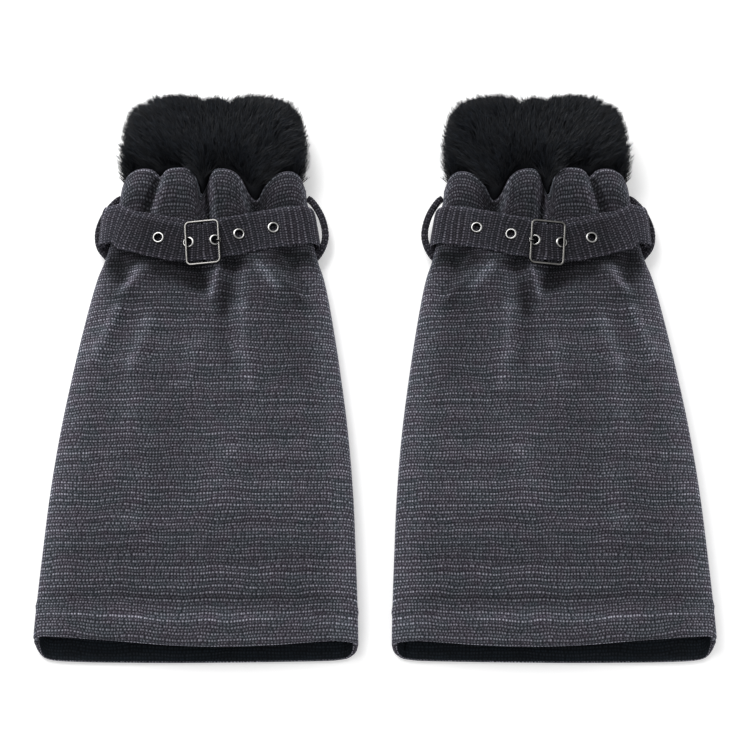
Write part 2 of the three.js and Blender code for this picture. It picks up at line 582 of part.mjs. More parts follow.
// Pin: an eye round the bar, then out through the third eyelet and over the frame's right side.
function bucklePin() {
  const eye = Array.from({ length: 12 }, (_, k) => {
    const a = (2 * Math.PI * k) / 12;
    return bucklePoint(pin.eyeRadius * Math.cos(a), 0, bar.height + pin.eyeRadius * Math.sin(a));
  });
  const eyeSolid = solidFrom(sweepOf(tubeLoops(eye, buckleAcross, pin.radius, pin.radius, 8, true), true));
  const stem = [
    [1.9, 4], [5, 4.4], [8.2, 4.7], [9.8, 7], [10.5, 9.8], [11.3, 11.9], [12.9, 12.6], [15, 12.2],
  ].map(([u, h]) => bucklePoint(u, 0.3, h));
  const stemSolid = solidFrom(sweepOf(tubeLoops(stem, buckleAcross, pin.radius, pin.radius, 8, false), false));
  return geometryFrom(eyeSolid.add(stemSolid));
}

function beltLoop(side) {
  const path = loopPath.map(({ y, out, up }) => new THREE.Vector3(
    side * (section(y).halfWidth + seamGap + loopRadius + out), y, up));
  const loops = tubeLoops(path, new THREE.Vector3(0, 0, 1), loopRadius, loopRadius, 8, false);
  return sweepOf(loops, false);
}

const pieces = [
  ['front_panel', frontPanel(), cloth],
  ['back_panel', backPanel(), cloth],
  ['fur_cuff', cuff(), furCloth],
  ['belt', belt(), beltCloth],
  ['belt_loop_outer', beltLoop(-1), beltCloth],
  ['belt_loop_inner', beltLoop(1), beltCloth],
  ['buckle_frame', buckleFrame(), metal],
  ['buckle_pin', bucklePin(), metal],
  ...eyeletX.map((x, i) => [`eyelet_${i + 1}`, beltEyelet(x), metal]),
];

const bounds = new THREE.Box3();
pieces.forEach(([, geometry]) => {
  geometry.computeBoundingBox();
  bounds.union(geometry.boundingBox);
});
const lengthCentre = (bounds.min.y + bounds.max.y) / 2;
const pair = new THREE.Group();
[['left', 1], ['right', -1]].forEach(([name, side]) => {
  const leg = new THREE.Group();
  leg.position.set((-side * legSpacing) / 2, -lengthCentre, 0);
  leg.scale.x = side;
  pieces.forEach(([piece, geometry, material]) => {
    const mesh = new THREE.Mesh(geometry, material);
    mesh.name = `${name}_${piece}`;
    leg.add(mesh);
  });
  pair.add(leg);
});

export default pair;
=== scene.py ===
import math

import bpy
import numpy as np
from mathutils import Matrix, Vector


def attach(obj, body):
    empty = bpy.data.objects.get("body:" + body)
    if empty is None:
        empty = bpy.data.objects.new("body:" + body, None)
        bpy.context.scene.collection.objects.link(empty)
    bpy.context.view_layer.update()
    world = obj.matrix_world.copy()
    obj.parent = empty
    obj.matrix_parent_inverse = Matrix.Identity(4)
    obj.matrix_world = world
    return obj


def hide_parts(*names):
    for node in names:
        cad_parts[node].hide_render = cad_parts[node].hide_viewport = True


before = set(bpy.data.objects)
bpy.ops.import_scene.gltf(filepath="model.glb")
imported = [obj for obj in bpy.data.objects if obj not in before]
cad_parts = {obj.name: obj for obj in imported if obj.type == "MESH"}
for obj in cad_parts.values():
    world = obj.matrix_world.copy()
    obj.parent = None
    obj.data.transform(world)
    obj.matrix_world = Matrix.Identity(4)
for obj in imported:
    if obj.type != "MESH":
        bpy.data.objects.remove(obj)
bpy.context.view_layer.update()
mm = 0.001

# Lengths below are millimetres in the left piece's own frame: x from its centre line, y towards
# the fur. The pair is set out from these two numbers.
setOut = {"legSpacing": 265.0, "lengthCentre": 6.45}

# the view
viewPoint = {"elevation": 70.0, "distance": 1150.0, "lens": 69.2}


def addCamera():
    target = Vector((0, -setOut["lengthCentre"] * mm, 0))
    up = math.radians(viewPoint["elevation"])
    away = viewPoint["distance"] * mm
    bpy.ops.object.camera_add(
        location=target + Vector((0, -away * math.cos(up), away * math.sin(up))),
        rotation=(math.radians(90) - up, 0, 0),
    )
    camera = bpy.context.object
    camera.name = "photoView"
    camera.data.sensor_width = 36
    camera.data.lens = viewPoint["lens"]
    camera.data.dof.use_dof = False
    bpy.context.scene.camera = camera


addCamera()
print("camera set")

# the form of the knit tube, as in the part's source
tubeSections = {
    "y": [-226, -200, -150, -100, -50, 0, 40, 66, 80, 90, 104, 120, 135, 145, 156, 166],
    "halfWidth": [120.3, 119.9, 118.1, 115.7, 111.3, 104.8, 98.6, 93.9, 90.6, 87.2, 83.6, 81.3, 79,
                  76.8, 75.6, 75.6],
    "seam": [9, 9.5, 10, 10, 10, 10, 10, 10, 10.5, 11, 11.2, 11.8, 12.6, 13.6, 14, 14],
    "crown": [21.2, 22.5, 24, 25, 25.5, 26, 26.8, 27.8, 28.2, 28.9, 30.5, 32.4, 34.6, 38.4, 40.8, 41],
    "power": [5, 5, 4.6, 4.4, 4.2, 4, 3.6, 3.4, 3.2, 3, 3, 3, 3, 3.1, 3.2, 3.2],
}
backSeat = {"start": 82, "full": 101, "fade": 138, "end": 155, "height": 2.6}
cloth = {"thick": 2.3, "hemThick": 4.2, "hemDepth": 23, "hemRim": 1.3, "seamGap": 0.15, "rollRadius": 6}

# folds of the front: line from (x0, y0) to (x1, y1), width, rise
frontFolds = [
    # pleats left, middle, right
    (-42, 160, -51, 128, 6, -5), (-5, 160, -2, 124, 5.5, -10), (33, 160, 38, 128, 9, -10),
    # hollows under the belt, left, at the buckle, beside it, right
    (-75, 94, -69, 74, 9, -5.5), (-14, 88, -9, 68, 12, -5), (21, 86, 24, 52, 6.5, -4.5),
    (64, 96, 79, 66, 9, -5.5),
    # ridges, left upper and lower, under the buckle, right upper and lower, middle, left of it
    (-50, 78, -68, 60, 6, 3), (-70, 46, -88, 4, 7, 3), (7, 76, 7, 56, 5, 2.5), (37, 78, 53, 66, 6.5, 3),
    (29, 48, 33, 6, 8, 2), (-8, 16, -16, -20, 8, 1.8), (-47, 40, -60, -2, 8, 1.8),
    # low swells right and left, and the dip between them
    (20, -60, 16, -110, 16, 1.6), (-57, -80, -57, -140, 14, 1.6), (-20, -50, -26, -160, 18, -1.6),
]
beltClear = {"none": 17.5, "full": 26}
frontTopEdge = {
    "x": [-77, -73, -69, -59, -49, -44, -38, -24, -16, -12, -9.5, -7.5, -5.5, -2, 8, 18, 25, 30, 36, 43,
          51, 63, 72, 77],
    "y": [154, 161, 165.5, 167.5, 165.5, 162.5, 165.5, 166.5, 164, 158, 148, 147, 157, 163.5, 165.5, 163, 156,
          148, 145, 153, 160.5, 166, 164.5, 157],
}
frontHemEdge = {
    "x": [-121, -115, -106, -62, -20, 22, 60, 100, 112, 121],
    "y": [-213, -211, -211.4, -214.5, -217.8, -219, -217.6, -214.6, -214.9, -216],
}
backHemEdge = {
    "x": [-120.3, -118.5, -115, -108, -95, -60, 0, 95, 110, 116, 119, 120.3],
    "y": [-215, -219.5, -223.3, -225.8, -227, -227.8, -228, -226.6, -225.2, -223, -220.5, -216.5],
}


def along(table, key, at, column):
    # the same smooth interpolation as in the part's source
    k = np.asarray(table[key], float)
    v = np.asarray(table[column], float)
    last = len(k) - 1
    t = np.clip(np.asarray(at, float), k[0], k[-1])
    i = np.clip(np.searchsorted(k[1:], t, side="left"), 0, last - 1)
    low = np.maximum(np.arange(len(k)) - 1, 0)
    high = np.minimum(np.arange(len(k)) + 1, last)
    slope = (v[high] - v[low]) / (k[high] - k[low])
    span = k[i + 1] - k[i]
    u = (t - k[i]) / span
    return (
        (2 * u**3 - 3 * u**2 + 1) * v[i] + (u**3 - 2 * u**2 + u) * span * slope[i]
        + (3 * u**2 - 2 * u**3) * v[i + 1] + (u**3 - u**2) * span * slope[i + 1]
    )


def smoothStep(x, low, high):
    t = np.clip((np.asarray(x, float) - low) / (high - low), 0, 1)
    return t * t * (3 - 2 * t)


def section(y):
    found = {name: along(tubeSections, "y", y, name) for name in ("halfWidth", "seam", "crown", "power")}
    found["underside"] = backSeat["height"] * (
        smoothStep(y, backSeat["start"], backSeat["full"]) - smoothStep(y, backSeat["fade"], backSeat["end"])
    )
    return found


def upperPoint(y, angle, lift):
    s = section(y)
    c, d = np.cos(angle), np.sin(angle)
    reach = (np.abs(c) ** s["power"] + np.abs(d) ** s["power"]) ** (1 / s["power"])
    fx, fz = c / reach, d / reach
    rise = s["crown"] - s["seam"]
    nx = np.sign(fx) * np.abs(fx) ** (s["power"] - 1) / s["halfWidth"]
    nz = np.abs(fz) ** (s["power"] - 1) / rise
    size = np.hypot(nx, nz)
    x = fx * s["halfWidth"] + nx / size * lift
    z = s["seam"] + fz * rise + nz / size * lift
    return np.stack(np.broadcast_arrays(x, np.asarray(y, float), z), -1)


def angleAt(share, power):
    f = np.minimum(np.abs(share), 0.999)
    return np.arctan2((1 - f**power) ** (1 / power), np.sign(share) * f)


def lowerPoint(y, side, degrees, inward, lift):
    s = section(y)
    radius = s["seam"] - s["underside"]
    a = np.radians(degrees)
    centre = s["halfWidth"] - radius
    x = side * (centre * (1 - inward) + (radius + lift) * np.cos(a))
    z = s["seam"] - (radius + lift) * np.sin(a)
    return np.stack(np.broadcast_arrays(x, np.asarray(y, float), z), -1)


def nearLine(x, y, x0, y0, x1, y1, width):
    # 1 on the line from (x0, y0) to (x1, y1), less the further away
    dx, dy = x1 - x0, y1 - y0
    t = np.clip(((x - x0) * dx + (y - y0) * dy) / (dx * dx + dy * dy), 0, 1)
    return np.exp(-((np.hypot(x - x0 - t * dx, y - y0 - t * dy) / width) ** 2))


def foldRise(x, y, folds):
    # ridges fade out under the belt, hollows run on
    clear = smoothStep(np.abs(y - along(beltLine, "x", x, "y")), beltClear["none"], beltClear["full"])
    rise = np.zeros(np.broadcast(x, y).shape)
    for *line, height in folds:
        rise += height * (clear if height > 0 else 1) * nearLine(x, y, *line)
    return rise


def unit(vectors, least=0):
    return vectors / np.maximum(np.linalg.norm(vectors, axis=-1, keepdims=True), least)


def lengthAlong(line):
    return np.concatenate([[0], np.cumsum(np.linalg.norm(np.diff(line, axis=0), axis=1))])


# meshes from grids
def gridNormals(points):
    return unit(np.cross(np.gradient(points, axis=0), np.gradient(points, axis=1)), 1e-9)


def pairsOf(across, length):
    return np.stack(np.broadcast_arrays(across, length), -1)


def meshFrom(name, points, faces, materials, uv=None, slots=None):
    placed = np.asarray(points, float).reshape(-1, 3).copy()
    placed[:, 0] -= setOut["legSpacing"] / 2
    placed[:, 1] -= setOut["lengthCentre"]
    mesh = bpy.data.meshes.new(name)
    mesh.from_pydata((placed * mm).tolist(), [], faces)
    for material in materials:
        mesh.materials.append(material)
    if uv is not None:
        layer = mesh.uv_layers.new(name="cloth")
        corner = np.empty(len(mesh.loops), dtype=np.int32)
        mesh.loops.foreach_get("vertex_index", corner)
        layer.data.foreach_set("uv", np.asarray(uv, float).reshape(-1, 2)[corner].ravel())
    if slots is not None:
        mesh.polygons.foreach_set("material_index", slots)
    mesh.polygons.foreach_set("use_smooth", np.full(len(mesh.polygons), True))
    mesh.update()
    piece = bpy.data.objects.new(name, mesh)
    bpy.context.collection.objects.link(piece)
    return piece


def tubeQuads(count, length, joined):
    # joined: the last section runs on into the first
    index = np.arange(count * length).reshape(count, length)
    if joined:
        index = np.concatenate([index, index[:, :1]], axis=1)
    around = np.roll(index, -1, axis=0)
    return np.stack([index[:, :-1], around[:, :-1], around[:, 1:], index[:, 1:]], -1)


def ringMesh(name, loops, uv, materials, slotOf=None):
    # loops[k, j]: k runs round a closed section, j along the piece; the two ends are closed
    count, length = loops.shape[:2]
    quads = tubeQuads(count, length, False)
    slots = np.zeros(quads.shape[:2], dtype=np.int32)
    if slotOf is not None:
        slots[:] = slotOf[:, None]
    k = np.arange(count // 2 - 1)
    ends = np.stack([k, k + 1, count - 2 - k, count - 1 - k], -1) * length
    faces = quads.reshape(-1, 4).tolist() + ends[:, ::-1].tolist() + (ends + length - 1).tolist()
    slots = np.concatenate([slots.ravel(), np.zeros(2 * len(k), dtype=np.int32)])
    return meshFrom(name, loops, faces, materials, uv, slots)


def hemmedWall(name, outer, uv, thick, materials):
    # outer rows run from the hem to the top; the hem is rounded and the inside gets a material of its own,
    # darker as painted shade
    normals = gridNormals(outer)
    # at the side seams the wall's thickness lies level
    normals[:, [0, -1]] = 0
    normals[:, [0, -1], 0] = np.sign(outer[:, [0, -1], 0])
    inner = outer - normals * thick[:, None, None]
    half = thick[0] / 2
    centre = outer[0] - normals[0] * half
    outwards = unit(outer[0] - outer[1])
    turns = np.radians([55, 20, -20, -55])
    rim = [centre + normals[0] * half * math.sin(a) + outwards * half * 0.7 * math.cos(a) for a in turns]
    loops = np.concatenate([np.stack(rim[:2][::-1]), outer, inner[::-1], np.stack(rim[2:][::-1])])
    # the knit goes on round the rim, from the outer face down to the inner one
    rimUv = np.stack([uv[0] - [0, half * 0.62 * (k + 1)] for k in range(len(turns))])
    loopUv = np.concatenate([rimUv[:2][::-1], uv, uv[::-1], rimUv[2:][::-1]])
    slotOf = np.zeros(len(loops), dtype=np.int32)
    rows = len(outer)
    slotOf[2 + rows:2 + 2 * rows] = 1
    return ringMesh(name, loops, loopUv, materials, slotOf)


# shader groups and materials
def feed(tree, socket, value):
    if isinstance(value, (int, float, tuple)):
        socket.default_value = value
    else:
        tree.links.new(value, socket)


def addNode(tree, kind, *values):
    node = tree.nodes.new("ShaderNode" + kind)
    for socket, value in zip(node.inputs, values):
        feed(tree, socket, value)
    return node


def addMath(tree, operation, *values):
    node = addNode(tree, "Math", *values)
    node.operation = operation
    return node.outputs[0]


def addMix(tree, factor, first, second):
    node = addNode(tree, "Mix")
    node.data_type = "RGBA"
    for i, value in ((0, factor), (6, first), (7, second)):
        feed(tree, node.inputs[i], value)
    return node.outputs[2]


def addWhiteNoise(tree, dimensions, label, value):
    node = addNode(tree, "TexWhiteNoise")
    node.noise_dimensions = dimensions
    tree.links.new(value, node.inputs[label])
    return node.outputs[0]


def setInputs(node, values):
    for label, value in values.items():
        node.inputs[label].default_value = value


def addNoise(tree, vector, scale, detail=2.0, rough=0.5):
    node = addNode(tree, "TexNoise", vector)
    setInputs(node, {"Scale": scale, "Detail": detail, "Roughness": rough})
    return node.outputs[0]


def addRange(tree, value, low, high):
    node = addNode(tree, "MapRange", value, low, high)
    node.interpolation_type = "SMOOTHSTEP"
    return node.outputs[0]


def joinXYZ(tree, *values):
    return addNode(tree, "CombineXYZ", *values).outputs[0]


def splitXYZ(tree, vector):
    return addNode(tree, "SeparateXYZ", vector).outputs


def clothPlace(tree):
    uv = addNode(tree, "UVMap")
    uv.uv_map = "cloth"
    return splitXYZ(tree, uv.outputs[0])


def newMaterial(name, values):
    material = bpy.data.materials.new(name)
    material.use_nodes = True
    shader = material.node_tree.nodes["Principled BSDF"]
    setInputs(shader, values)
    return material, material.node_tree, shader


# Rows of small tufts. Scales are for each millimetre of cloth, ranges run from dark to light.
pattern = {
    "swayScale": 0.03, "sway": 6.5, "driftScale": 0.05, "drift": 4.0, "rowShift": 0.6,
    "tuftStray": 0.36, "tuftNarrow": 4.8, "tuftLow": 4.6, "tuftEdge": 1.7,
    "runScale": 0.12, "rowStep": 5.3, "runRange": (0.56, 0.72), "runLight": 0.3,
    "mainRange": (0.45, 0.75), "mainLight": 0.07, "sparkEdge": 1.3, "sparkLight": 0.23,
    "fuzzScale": 1.3, "fuzzLeast": 0.25, "fuzzRise": 0.5,
    "grainScale": 0.95, "grainRange": (0.42, 0.62), "grainLight": 0.07,
    "hueScale": 0.06, "hueRange": (0.36, 0.64),
    "streakAcross": 0.011, "streakAlong": 0.2, "streakRange": (0.3, 0.7),
}


def makeKnitGroup():
    # Across and Along are the cloth's own millimetres. Short strings of tufts stand out in some
    # rows, and Even says how much every other row does so throughout.
    tree = bpy.data.node_groups.new("chenilleRows", "ShaderNodeTree")
    inputs = {"Across": 0.0, "Along": 0.0, "Row Pitch": 2.1, "Tuft Pitch": 2.3, "Even": 0.0}
    for label, value in inputs.items():
        socket = tree.interface.new_socket(name=label, in_out="INPUT", socket_type="NodeSocketFloat")
        socket.default_value = value
    for label in ("Tuft", "Bright", "Hue", "Shade"):
        tree.interface.new_socket(name=label, in_out="OUTPUT", socket_type="NodeSocketFloat")
    given, made = tree.nodes.new("NodeGroupInput"), tree.nodes.new("NodeGroupOutput")
    across, alongCloth = given.outputs["Across"], given.outputs["Along"]

    def times(a, b):
        return addMath(tree, "MULTIPLY", a, b)

    def plus(a, b):
        return addMath(tree, "ADD", a, b)

    def minus(a, b):
        return addMath(tree, "SUBTRACT", a, b)

    place = joinXYZ(tree, across, alongCloth, 0.0)
    sway = times(minus(addNoise(tree, place, pattern["swayScale"]), 0.5), pattern["sway"])
    rowAt = addMath(tree, "DIVIDE", plus(alongCloth, sway), given.outputs["Row Pitch"])
    row = addMath(tree, "FLOOR", rowAt)
    rowChance = addWhiteNoise(tree, "1D", "W", row)
    drift = times(addNoise(tree, place, pattern["driftScale"], 1.0), pattern["drift"])
    tuftAt = addMath(tree, "DIVIDE", plus(across, drift), given.outputs["Tuft Pitch"])
    tuftAt = plus(tuftAt, times(rowChance, pattern["rowShift"]))
    cell = joinXYZ(tree, addMath(tree, "FLOOR", tuftAt), row, 0.0)
    cellChance = addWhiteNoise(tree, "2D", "Vector", cell)
    middle = plus(times(cellChance, pattern["tuftStray"]), 0.5 - pattern["tuftStray"] / 2)
    dx = minus(addMath(tree, "FRACT", tuftAt), middle)
    dy = minus(addMath(tree, "FRACT", rowAt), 0.5)
    off = plus(times(times(dx, dx), pattern["tuftNarrow"]), times(times(dy, dy), pattern["tuftLow"]))
    tuft = addMath(tree, "MAXIMUM", minus(1.0, off), 0.0)
    runsAt = joinXYZ(tree, times(across, pattern["runScale"]), times(row, pattern["rowStep"]), 0.0)
    runs = addRange(tree, addNoise(tree, runsAt, 1.0, 1.0), *pattern["runRange"])
    main = addRange(tree, rowChance, *pattern["mainRange"])
    other = times(addMath(tree, "ABSOLUTE", addMath(tree, "MODULO", row, 2.0)), given.outputs["Even"])
    spark = times(addMath(tree, "POWER", cellChance, pattern["sparkEdge"]), pattern["sparkLight"])
    spark = plus(spark, times(main, pattern["mainLight"]))
    level = plus(plus(spark, times(times(runs, main), pattern["runLight"])), other)
    fuzz = addNoise(tree, place, pattern["fuzzScale"], 3.0, 0.7)
    level = times(level, plus(pattern["fuzzLeast"], fuzz))
    streakAt = joinXYZ(tree, times(across, pattern["streakAcross"]),
                       times(alongCloth, pattern["streakAlong"]), 0.0)
    grain = addRange(tree, addNoise(tree, place, pattern["grainScale"]), *pattern["grainRange"])
    bright = plus(times(level, addMath(tree, "POWER", tuft, pattern["tuftEdge"])),
                  times(grain, pattern["grainLight"]))
    hue = addRange(tree, addNoise(tree, place, pattern["hueScale"], 5.0, 0.62), *pattern["hueRange"])
    shade = addRange(tree, addNoise(tree, streakAt, 1.0, 3.0, 0.6), *pattern["streakRange"])
    raised = plus(tuft, times(fuzz, pattern["fuzzRise"]))
    for label, value in {"Tuft": raised, "Bright": bright, "Hue": hue, "Shade": shade}.items():
        tree.links.new(value, made.inputs[label])
    return tree


knitGroup = makeKnitGroup()


def makeCloth(name, look):
    material, tree, shader = newMaterial(name, {
        "Roughness": 0.95, "Specular IOR Level": 0.12, "Sheen Weight": look["sheen"],
        "Sheen Roughness": 0.45, "Sheen Tint": (0.7, 0.72, 0.85, 1)})
    place = clothPlace(tree)
    knit = addNode(tree, "Group")
    knit.node_tree = knitGroup
    tree.links.new(place[0], knit.inputs["Across"])
    tree.links.new(place[1], knit.inputs["Along"])
    setInputs(knit, {"Row Pitch": look["rowPitch"], "Tuft Pitch": look["tuftPitch"], "Even": look["even"]})
    ground = addMix(tree, knit.outputs["Hue"], look["yarnA"], look["yarnB"])
    gap = addMix(tree, knit.outputs["Tuft"], look["gap"], ground)
    colour = addMix(tree, knit.outputs["Bright"], gap, look["tuft"])
    # painted light and shade, stored on the vertices
    lightAndShade = addNode(tree, "Attribute")
    lightAndShade.attribute_name = "lightAndShade"
    # painted sheen: the colour is lighter where the surface turns away from the view
    facing = addNode(tree, "LayerWeight", 0.5)
    paintedSheen = addMath(tree, "MULTIPLY", addRange(tree, facing.outputs["Facing"], 0.1, 0.8), look["paintedSheen"])
    paintedLightScale = addMath(tree, "ADD", addMath(tree, "ADD", 1.0, lightAndShade.outputs["Fac"]), paintedSheen)
    streaks = addMath(tree, "ADD", 0.8, addMath(tree, "MULTIPLY", knit.outputs["Shade"], 0.4))
    tint = addNode(tree, "VectorMath", colour)
    tint.operation = "SCALE"
    tree.links.new(addMath(tree, "MULTIPLY", paintedLightScale, streaks), tint.inputs["Scale"])
    tree.links.new(tint.outputs[0], shader.inputs["Base Color"])
    bump = addNode(tree, "Bump")
    setInputs(bump, {"Strength": look["bump"], "Distance": 0.0012})
    tree.links.new(knit.outputs["Tuft"], bump.inputs["Height"])
    tree.links.new(bump.outputs[0], shader.inputs["Normal"])
    return material


knitLook = {
    "rowPitch": 2.35, "tuftPitch": 2.35, "even": 0.3, "bump": 0.8, "sheen": 0.05, "paintedSheen": 1.1,
    "yarnA": (0.044, 0.036, 0.05, 1), "yarnB": (0.029, 0.038, 0.046, 1),
    "gap": (0.003, 0.003, 0.005, 1), "tuft": (0.52, 0.52, 0.6, 1),
}
knitCloth = makeCloth("charcoalKnit", knitLook)
# the inside of the knit: the same knit, darker as painted shade inside the tube
shadedInsideCloth = makeCloth("insideOfKnit", {
    **knitLook, "bump": 0.3, "sheen": 0.0, "paintedSheen": 0.3, "yarnA": (0.009, 0.012, 0.016, 1),
    "yarnB": (0.011, 0.016, 0.022, 1), "gap": (0.003, 0.004, 0.005, 1), "tuft": (0.03, 0.032, 0.038, 1)})
beltCloth = makeCloth("beltKnit", {
    **knitLook, "rowPitch": 2.4, "tuftPitch": 2.1, "even": 0.36, "paintedSheen": 1.2,
    "yarnA": (0.015, 0.013, 0.017, 1), "yarnB": (0.012, 0.014, 0.018, 1), "tuft": (0.22, 0.21, 0.25, 1)})


def makeMetal(name, dull, clear):
    material, tree, shader = newMaterial(name, {"Metallic": 1})
    where = addNode(tree, "TexCoord")
    wear = addNoise(tree, where.outputs["Object"], 220.0)
    # painted highlight on the upward faces and painted shade on the sides; the worn tone varies at random
    paintedTopLight = addRange(tree, splitXYZ(tree, where.outputs["Normal"])[2], 0.8, 0.995)
    bright = addMix(tree, wear, dull, clear)
    tree.links.new(addMix(tree, paintedTopLight, (0.012, 0.012, 0.014, 1), bright), shader.inputs["Base Color"])
    rough = addMath(tree, "ADD", addMath(tree, "MULTIPLY", wear, 0.14), 0.24)
    tree.links.new(rough, shader.inputs["Roughness"])
    return material


def makeFur(name, tip, rough, paintedRootShade):
    material, tree, shader = newMaterial(name, {"Roughness": rough, "Specular IOR Level": 0.2})
    where = addNode(tree, "TexCoord")
    patch = addNoise(tree, where.outputs["Object"], 90.0, 3.0)
    colour = addMix(tree, patch, (0.006, 0.007, 0.009, 1), tip)
    if paintedRootShade:
        # each hair has its own lightness, and is darker towards its root as painted shade deep in the fur;
        # the blue-grey towards the tip is partly the hair's own colour, partly painted sheen
        place = clothPlace(tree)
        colour = addMix(tree, addMath(tree, "MULTIPLY", *place[:2]), (0.003, 0.0035, 0.005, 1), colour)
    tree.links.new(colour, shader.inputs["Base Color"])
    return material


buckleMetal = makeMetal("agedSilver", (0.1, 0.098, 0.094, 1), (0.27, 0.263, 0.25, 1))
ringMetal = makeMetal("silverPlate", (0.2, 0.2, 0.198, 1), (0.62, 0.615, 0.6, 1))
hairFur = makeFur("furHair", (0.021, 0.031, 0.047, 1), 0.5, True)
backingFur = makeFur("furBacking", (0.003, 0.0035, 0.005, 1), 0.95, False)
print("materials made")

# the belt's line and heights, as in the part's source
beltLine = {
    "x": [-100, -85, -74, -52, -33, -20, -5, 5, 10, 20, 33, 52, 66, 82, 100],
    "y": [120.5, 119, 114.8, 107.2, 102.4, 99.8, 99, 100.6, 102.6, 106.4, 110.2, 114.5, 117.5, 120, 120.5],
}
longStrap = {
    "u": [-95, -30, -18, -13, -9, -5, -2, 0, 2, 5, 10, 13, 17, 22, 27, 32, 37, 42, 95],
    "face": [5.2, 5.2, 5.2, 5.7, 6.6, 7.8, 8.8, 9.1, 9.05, 8.6, 7.8, 7.3, 6.5, 5.3, 4.2, 3.3, 2.8, 2.6, 2.6],
}
endStrap = {"u": [-95, -16, -11, -7.5, -4.5], "face": [2.6, 2.6, 2.9, 3.8, 5]}
endShift = {"x": [-80, -70, -52, -31, -17, -9], "up": [0, 2, 3.8, 4.6, 3.2, 0.8]}
belt = {
    "width": 32, "thick": 2.2, "lift": 2.6, "sideClear": 0.25, "inBuckle": 29.6, "squeeze": (15, 24),
    "wrapWidth": 27, "wrapThick": 1.5, "eyeletX": (-40.5, -16.4, 5.2, 23.6, 50.6), "holeRadius": 3.3,
    "holeDepth": 3.6,
}
buckle = {
    "x": -4.8, "y": 98.9, "turn": 4.5, "tip": 4, "width": 28.4, "height": 37.4, "corner": 3.4,
    "wireWidth": 2.1, "wireDepth": 2.4, "rise": 9.5, "barRadius": 0.9, "barRise": 3.8, "barHalf": 15.4,
}


def buckleAxes():
    s = section(buckle["y"])
    angle = angleAt(buckle["x"] / s["halfWidth"], s["power"])
    origin = upperPoint(buckle["y"], angle, 0)
    uphill = upperPoint(buckle["y"] + 12, angle, 0) - upperPoint(buckle["y"] - 12, angle, 0)
    uphill[0] = 0
    out = unit(np.cross([1, 0, 0], uphill))
    turn = math.radians(buckle["turn"])
    right = np.array([1.0, 0, 0])
    side = right * math.cos(turn) + np.cross(out, right) * math.sin(turn)
    return origin, side, np.cross(out, side), out


buckleOrigin, buckleAlong, buckleAcross, buckleOut = buckleAxes()


def bucklePoint(u, v, h):
    u, v, h = np.broadcast_arrays(np.asarray(u, float), v, h)
    return buckleOrigin + u[..., None] * buckleAlong + v[..., None] * buckleAcross + h[..., None] * buckleOut


def strapPoint(x, w, up, heights):
    rise = along(beltLine, "x", x + 1, "y") - along(beltLine, "x", x - 1, "y")
    lean = np.arctan(rise / 2)
    y = along(beltLine, "x", x, "y") + up + w * np.cos(lean)
    px = x - w * np.sin(lean)
    s = section(y)
    turn = math.radians(buckle["turn"])
    u = (px - buckle["x"]) * math.cos(turn) + (y - buckle["y"]) * math.sin(turn)
    return upperPoint(y, angleAt(px / s["halfWidth"], s["power"]), along(heights, "u", u, "face"))


# front panel
frontPiece = {"columns": 130, "rows": 150, "low": -215, "high": 152, "hemTo": -160, "edgeFrom": 108,
              "seamRidge": 0.7}
# further folds, finer than the solid's: line from (x0, y0) to (x1, y1), width, rise
softCreases = [
    # thin ridge under the buckle and the hollow left of it
    (9, 82, 10, 60, 2.6, 1.6), (-4, 82, -2, 62, 5, -1.6),
    # ridges of the left side, the middle and the right side
    (-70, 47, -87, 5, 4, 1.6), (-60, 48, -76, 0, 6, -1.2), (-42, 34, -62, -20, 5, 1.4),
    (-10, 12, -14, -8, 5, 1.1), (21, 48, 26, 4, 4.5, 1.8), (26, 4, 40, -6, 5, 1.2),
    (12, 46, 15, 6, 6, -1.4), (50, 80, 80, 48, 5, 1.8), (44, 70, 66, 38, 6, -1.2),
    # low swells
    (14, -70, 10, -104, 10, 1.2), (-60, -108, -62, -126, 10, 1.0),
    # pleats of the gathered top, and their lips
    (-43, 160, -53, 132, 2.6, -2.4), (-37, 156, -46, 134, 4, 1.6), (-6, 160, -3, 126, 2.4, -4),
    (2, 156, 4, 130, 3.6, 1.2), (24, 154, 28, 128, 3.4, 1.8),
]
